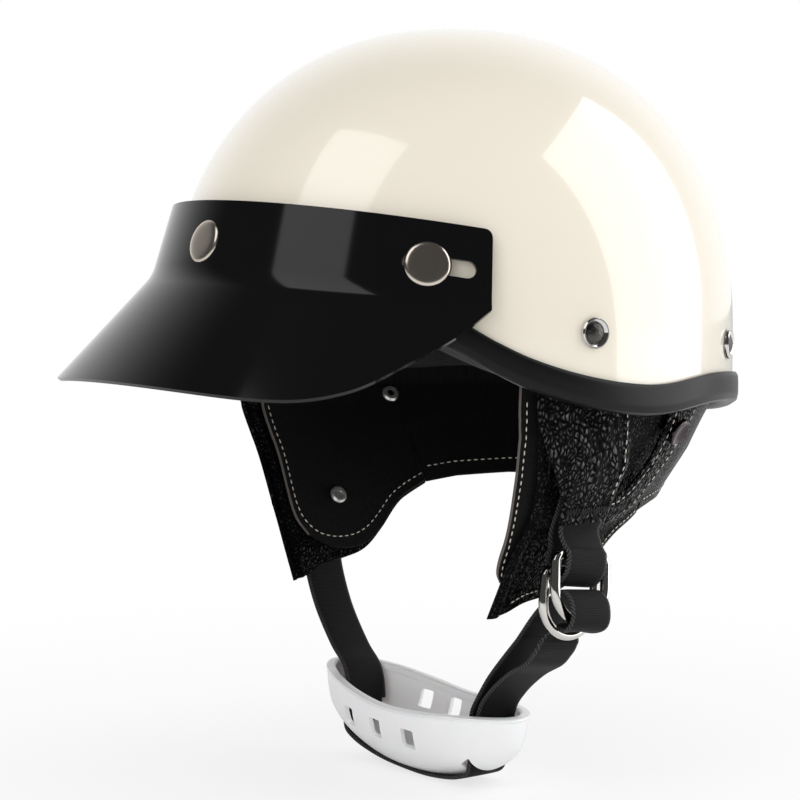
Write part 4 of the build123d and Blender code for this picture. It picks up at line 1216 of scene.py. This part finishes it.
# Double rings: two rings bent from round wire, polished chrome, straight side in the loop.
wire = 0.0022
bend = 0.004
bar_half = 0.0108
ring_radius = 0.0148
ring_drop = 0.0138
quarter_turn = [k * pi / 16 for k in range(9)]
outline = [Vector((0, 0)), Vector((0.0107, 0))]
outline += [Vector((bar_half + bend * sin(a), -bend + bend * cos(a)))
            for a in quarter_turn[1:]]
outline += [Vector((ring_radius * cos(a), -ring_drop - ring_radius * sin(a)))
            for a in [k * pi / 48 for k in range(49)]]
outline += [Vector((-bar_half - bend * cos(a), -bend + bend * sin(a))) for a in quarter_turn]
outline.append(Vector((0, 0)))
ring_line = evenly(outline, 400)
for name, across, lift, lean in (("outer", -0.0026, 0, radians(3)),
                                 ("inner", 0.0026, 0.007, radians(7.5))):
    up = ring_up * cos(lean) - Vector((1, 0, 0)) * sin(lean)
    centre = ring_origin + Vector((across, 0, 0)) + ring_up * lift

    def on_ring(u, v, centre=centre, up=up):
        p = along(ring_line, u % 1)
        way = along(ring_line, (u + 0.004) % 1) - along(ring_line, (u - 0.004) % 1)
        way = (ring_bar * way.x + up * way.y).normalized()
        flat = ring_bar.cross(up)
        radial = way.cross(flat)
        return centre + ring_bar * p.x + up * p.y + radial * (wire * cos(v * 2 * pi)) \
            + flat * (wire * sin(v * 2 * pi))

    formed(f"ring_{name}", 180, 28, on_ring, f"{name}_ring", "ring_chrome",
           [f"d_ring_{name}"])

# Chin cup: white moulded plastic with a rolled rim, two slots for the strap and two rows of
# square vents. It slides a little along the strap, which passes under it.
finish("cup_plastic", (0.9, 0.9, 0.905), 0.3, scale=50, colour_change=0.03,
       roughness_change=0.1, bump=0.04, Subsurface_Weight=0.12, Subsurface_Scale=0.002,
       Coat_Weight=0.3, Coat_Roughness=0.15)
cup_slope = radians(4)
cup_origin = Vector((0, -0.017, -0.154))
cup_x = Vector((cos(cup_slope), 0, -sin(cup_slope)))
cup_z = Vector((sin(cup_slope), 0, cos(cup_slope)))
cup_depth = 0.0435
cup_half_width = 0.025
cup_wall_share = 0.94
cup_sections = smooth_pairs([
    (0, 1.012, 1.02), (0.36, 0.99, 0.99), (0.6, 0.93, 0.92), (0.785, 0.76, 0.78),
    (0.93, 0.49, 0.54), (1, 0.2, 0.25)], 60)
cup_rim = smooth_pairs([
    (-1.3, 0.2), (-1, 0.2), (-0.7, 0.235), (-0.35, 0.29), (0, 0.32), (0.35, 0.29),
    (0.7, 0.235), (1, 0.2), (1.3, 0.2)])


# Length and width of the cup's section at a depth, as shares
def cup_section(drop):
    for a, b in zip(cup_sections, cup_sections[1:]):
        if drop <= b[0]:
            break
    part = min(max((drop - a[0]) / max(b[0] - a[0], 1e-9), 0), 1)
    return a[1] + (b[1] - a[1]) * part, a[2] + (b[2] - a[2]) * part


# The cup's outline from the rim down, drawn in to a point at the middle of its floor
def cup_local(u, v):
    angle = u * 2 * pi
    rim = level_at(cup_rim, cos(angle))
    drop, shrink = 1, 1
    if v < cup_wall_share:
        drop = rim + (1 - rim) * (1 - (1 - v / cup_wall_share) ** 1.15)
    else:
        shrink = 1 - (v - cup_wall_share) / 0.06
    long, wide = cup_section(drop)
    return (long * cup_unit * cos(angle) * shrink, wide * cup_half_width * sin(angle) * shrink,
            -drop * cup_depth)


def in_cup(x, y, z):
    return cup_origin + cup_x * x + Vector((0, y, 0)) + cup_z * z


def box_distance(x, y, half_x, half_y, soft=0.0008):
    dx, dy = abs(x) - half_x + soft, abs(y) - half_y + soft
    return hypot(max(dx, 0), max(dy, 0)) + min(max(dx, dy), 0) - soft


strap_slot = (0.0024, 0.0125)
strap_slot_place = 0.0452
vent = (0.0038, 0.0042)
# Shift, pitch and level of the vents in front and of those behind
front_vents = (0.0045, 0.022, 0.0255)
rear_vents = (0.0055, 0.019, 0.023)


# Distance outside the nearest vent or strap slot
def cup_holes(spot):
    x, y, z = cup_local(spot[0] % 1, spot[1])
    if spot[1] > 0.93:
        return 1
    if abs(x) > 0.036:
        if z >= -0.02:
            return 1
        return min(1, *(box_distance(x - side * strap_slot_place, y, *strap_slot)
                        for side in (1, -1)))
    shift, pitch, level = front_vents if y < 0 else rear_vents
    return min(1, *(box_distance(x + shift - k * pitch, z + level, *vent)
                    for k in (-1, 0, 1)))


formed("cup_shell", 420, 110, lambda u, v: in_cup(*cup_local(u, v)), "cup", "cup_plastic",
       ["chin_cup"], cut=cup_holes, wall=0.0022, edge=0.0004)
lip_line = evenly([Vector(p) for p in
                   [(-0.0022, -0.0032), (-0.0023, -0.0006), (-0.0014, 0.0002),
                    (0.0012, 0.0001), (0.0024, -0.0003), (0.0028, -0.001),
                    (0.0022, -0.0018), (0.0006, -0.0024), (-0.0022, -0.0032)]], 32)


def on_lip(u, v):
    out, up = along(lip_line, v)
    angle = u * 2 * pi
    rim = level_at(cup_rim, cos(angle))
    long, wide = cup_section(rim)
    return in_cup((long * cup_unit + out) * cos(angle),
                  (wide * cup_half_width + out) * sin(angle), -rim * cup_depth + up)


formed("cup_lip", 200, 32, on_lip, "cup", "cup_plastic")

# Webbing under the cup: the strap leaves by one slot, passes beneath and enters the other.
under = [in_cup(x * cup_unit, 0, y * cup_unit) for x, y in
         [(0.72, -0.245), (0.72, -0.497), (0.7, -0.594), (0.62, -0.643), (0.47, -0.684),
          (0.2, -0.717), (-0.2, -0.717), (-0.47, -0.684), (-0.62, -0.643), (-0.7, -0.594),
          (-0.72, -0.497), (-0.72, -0.345)]]
tape("strap_beneath", under, ["strap_under_cup"], Vector((0, -1, 0)), body="cup")
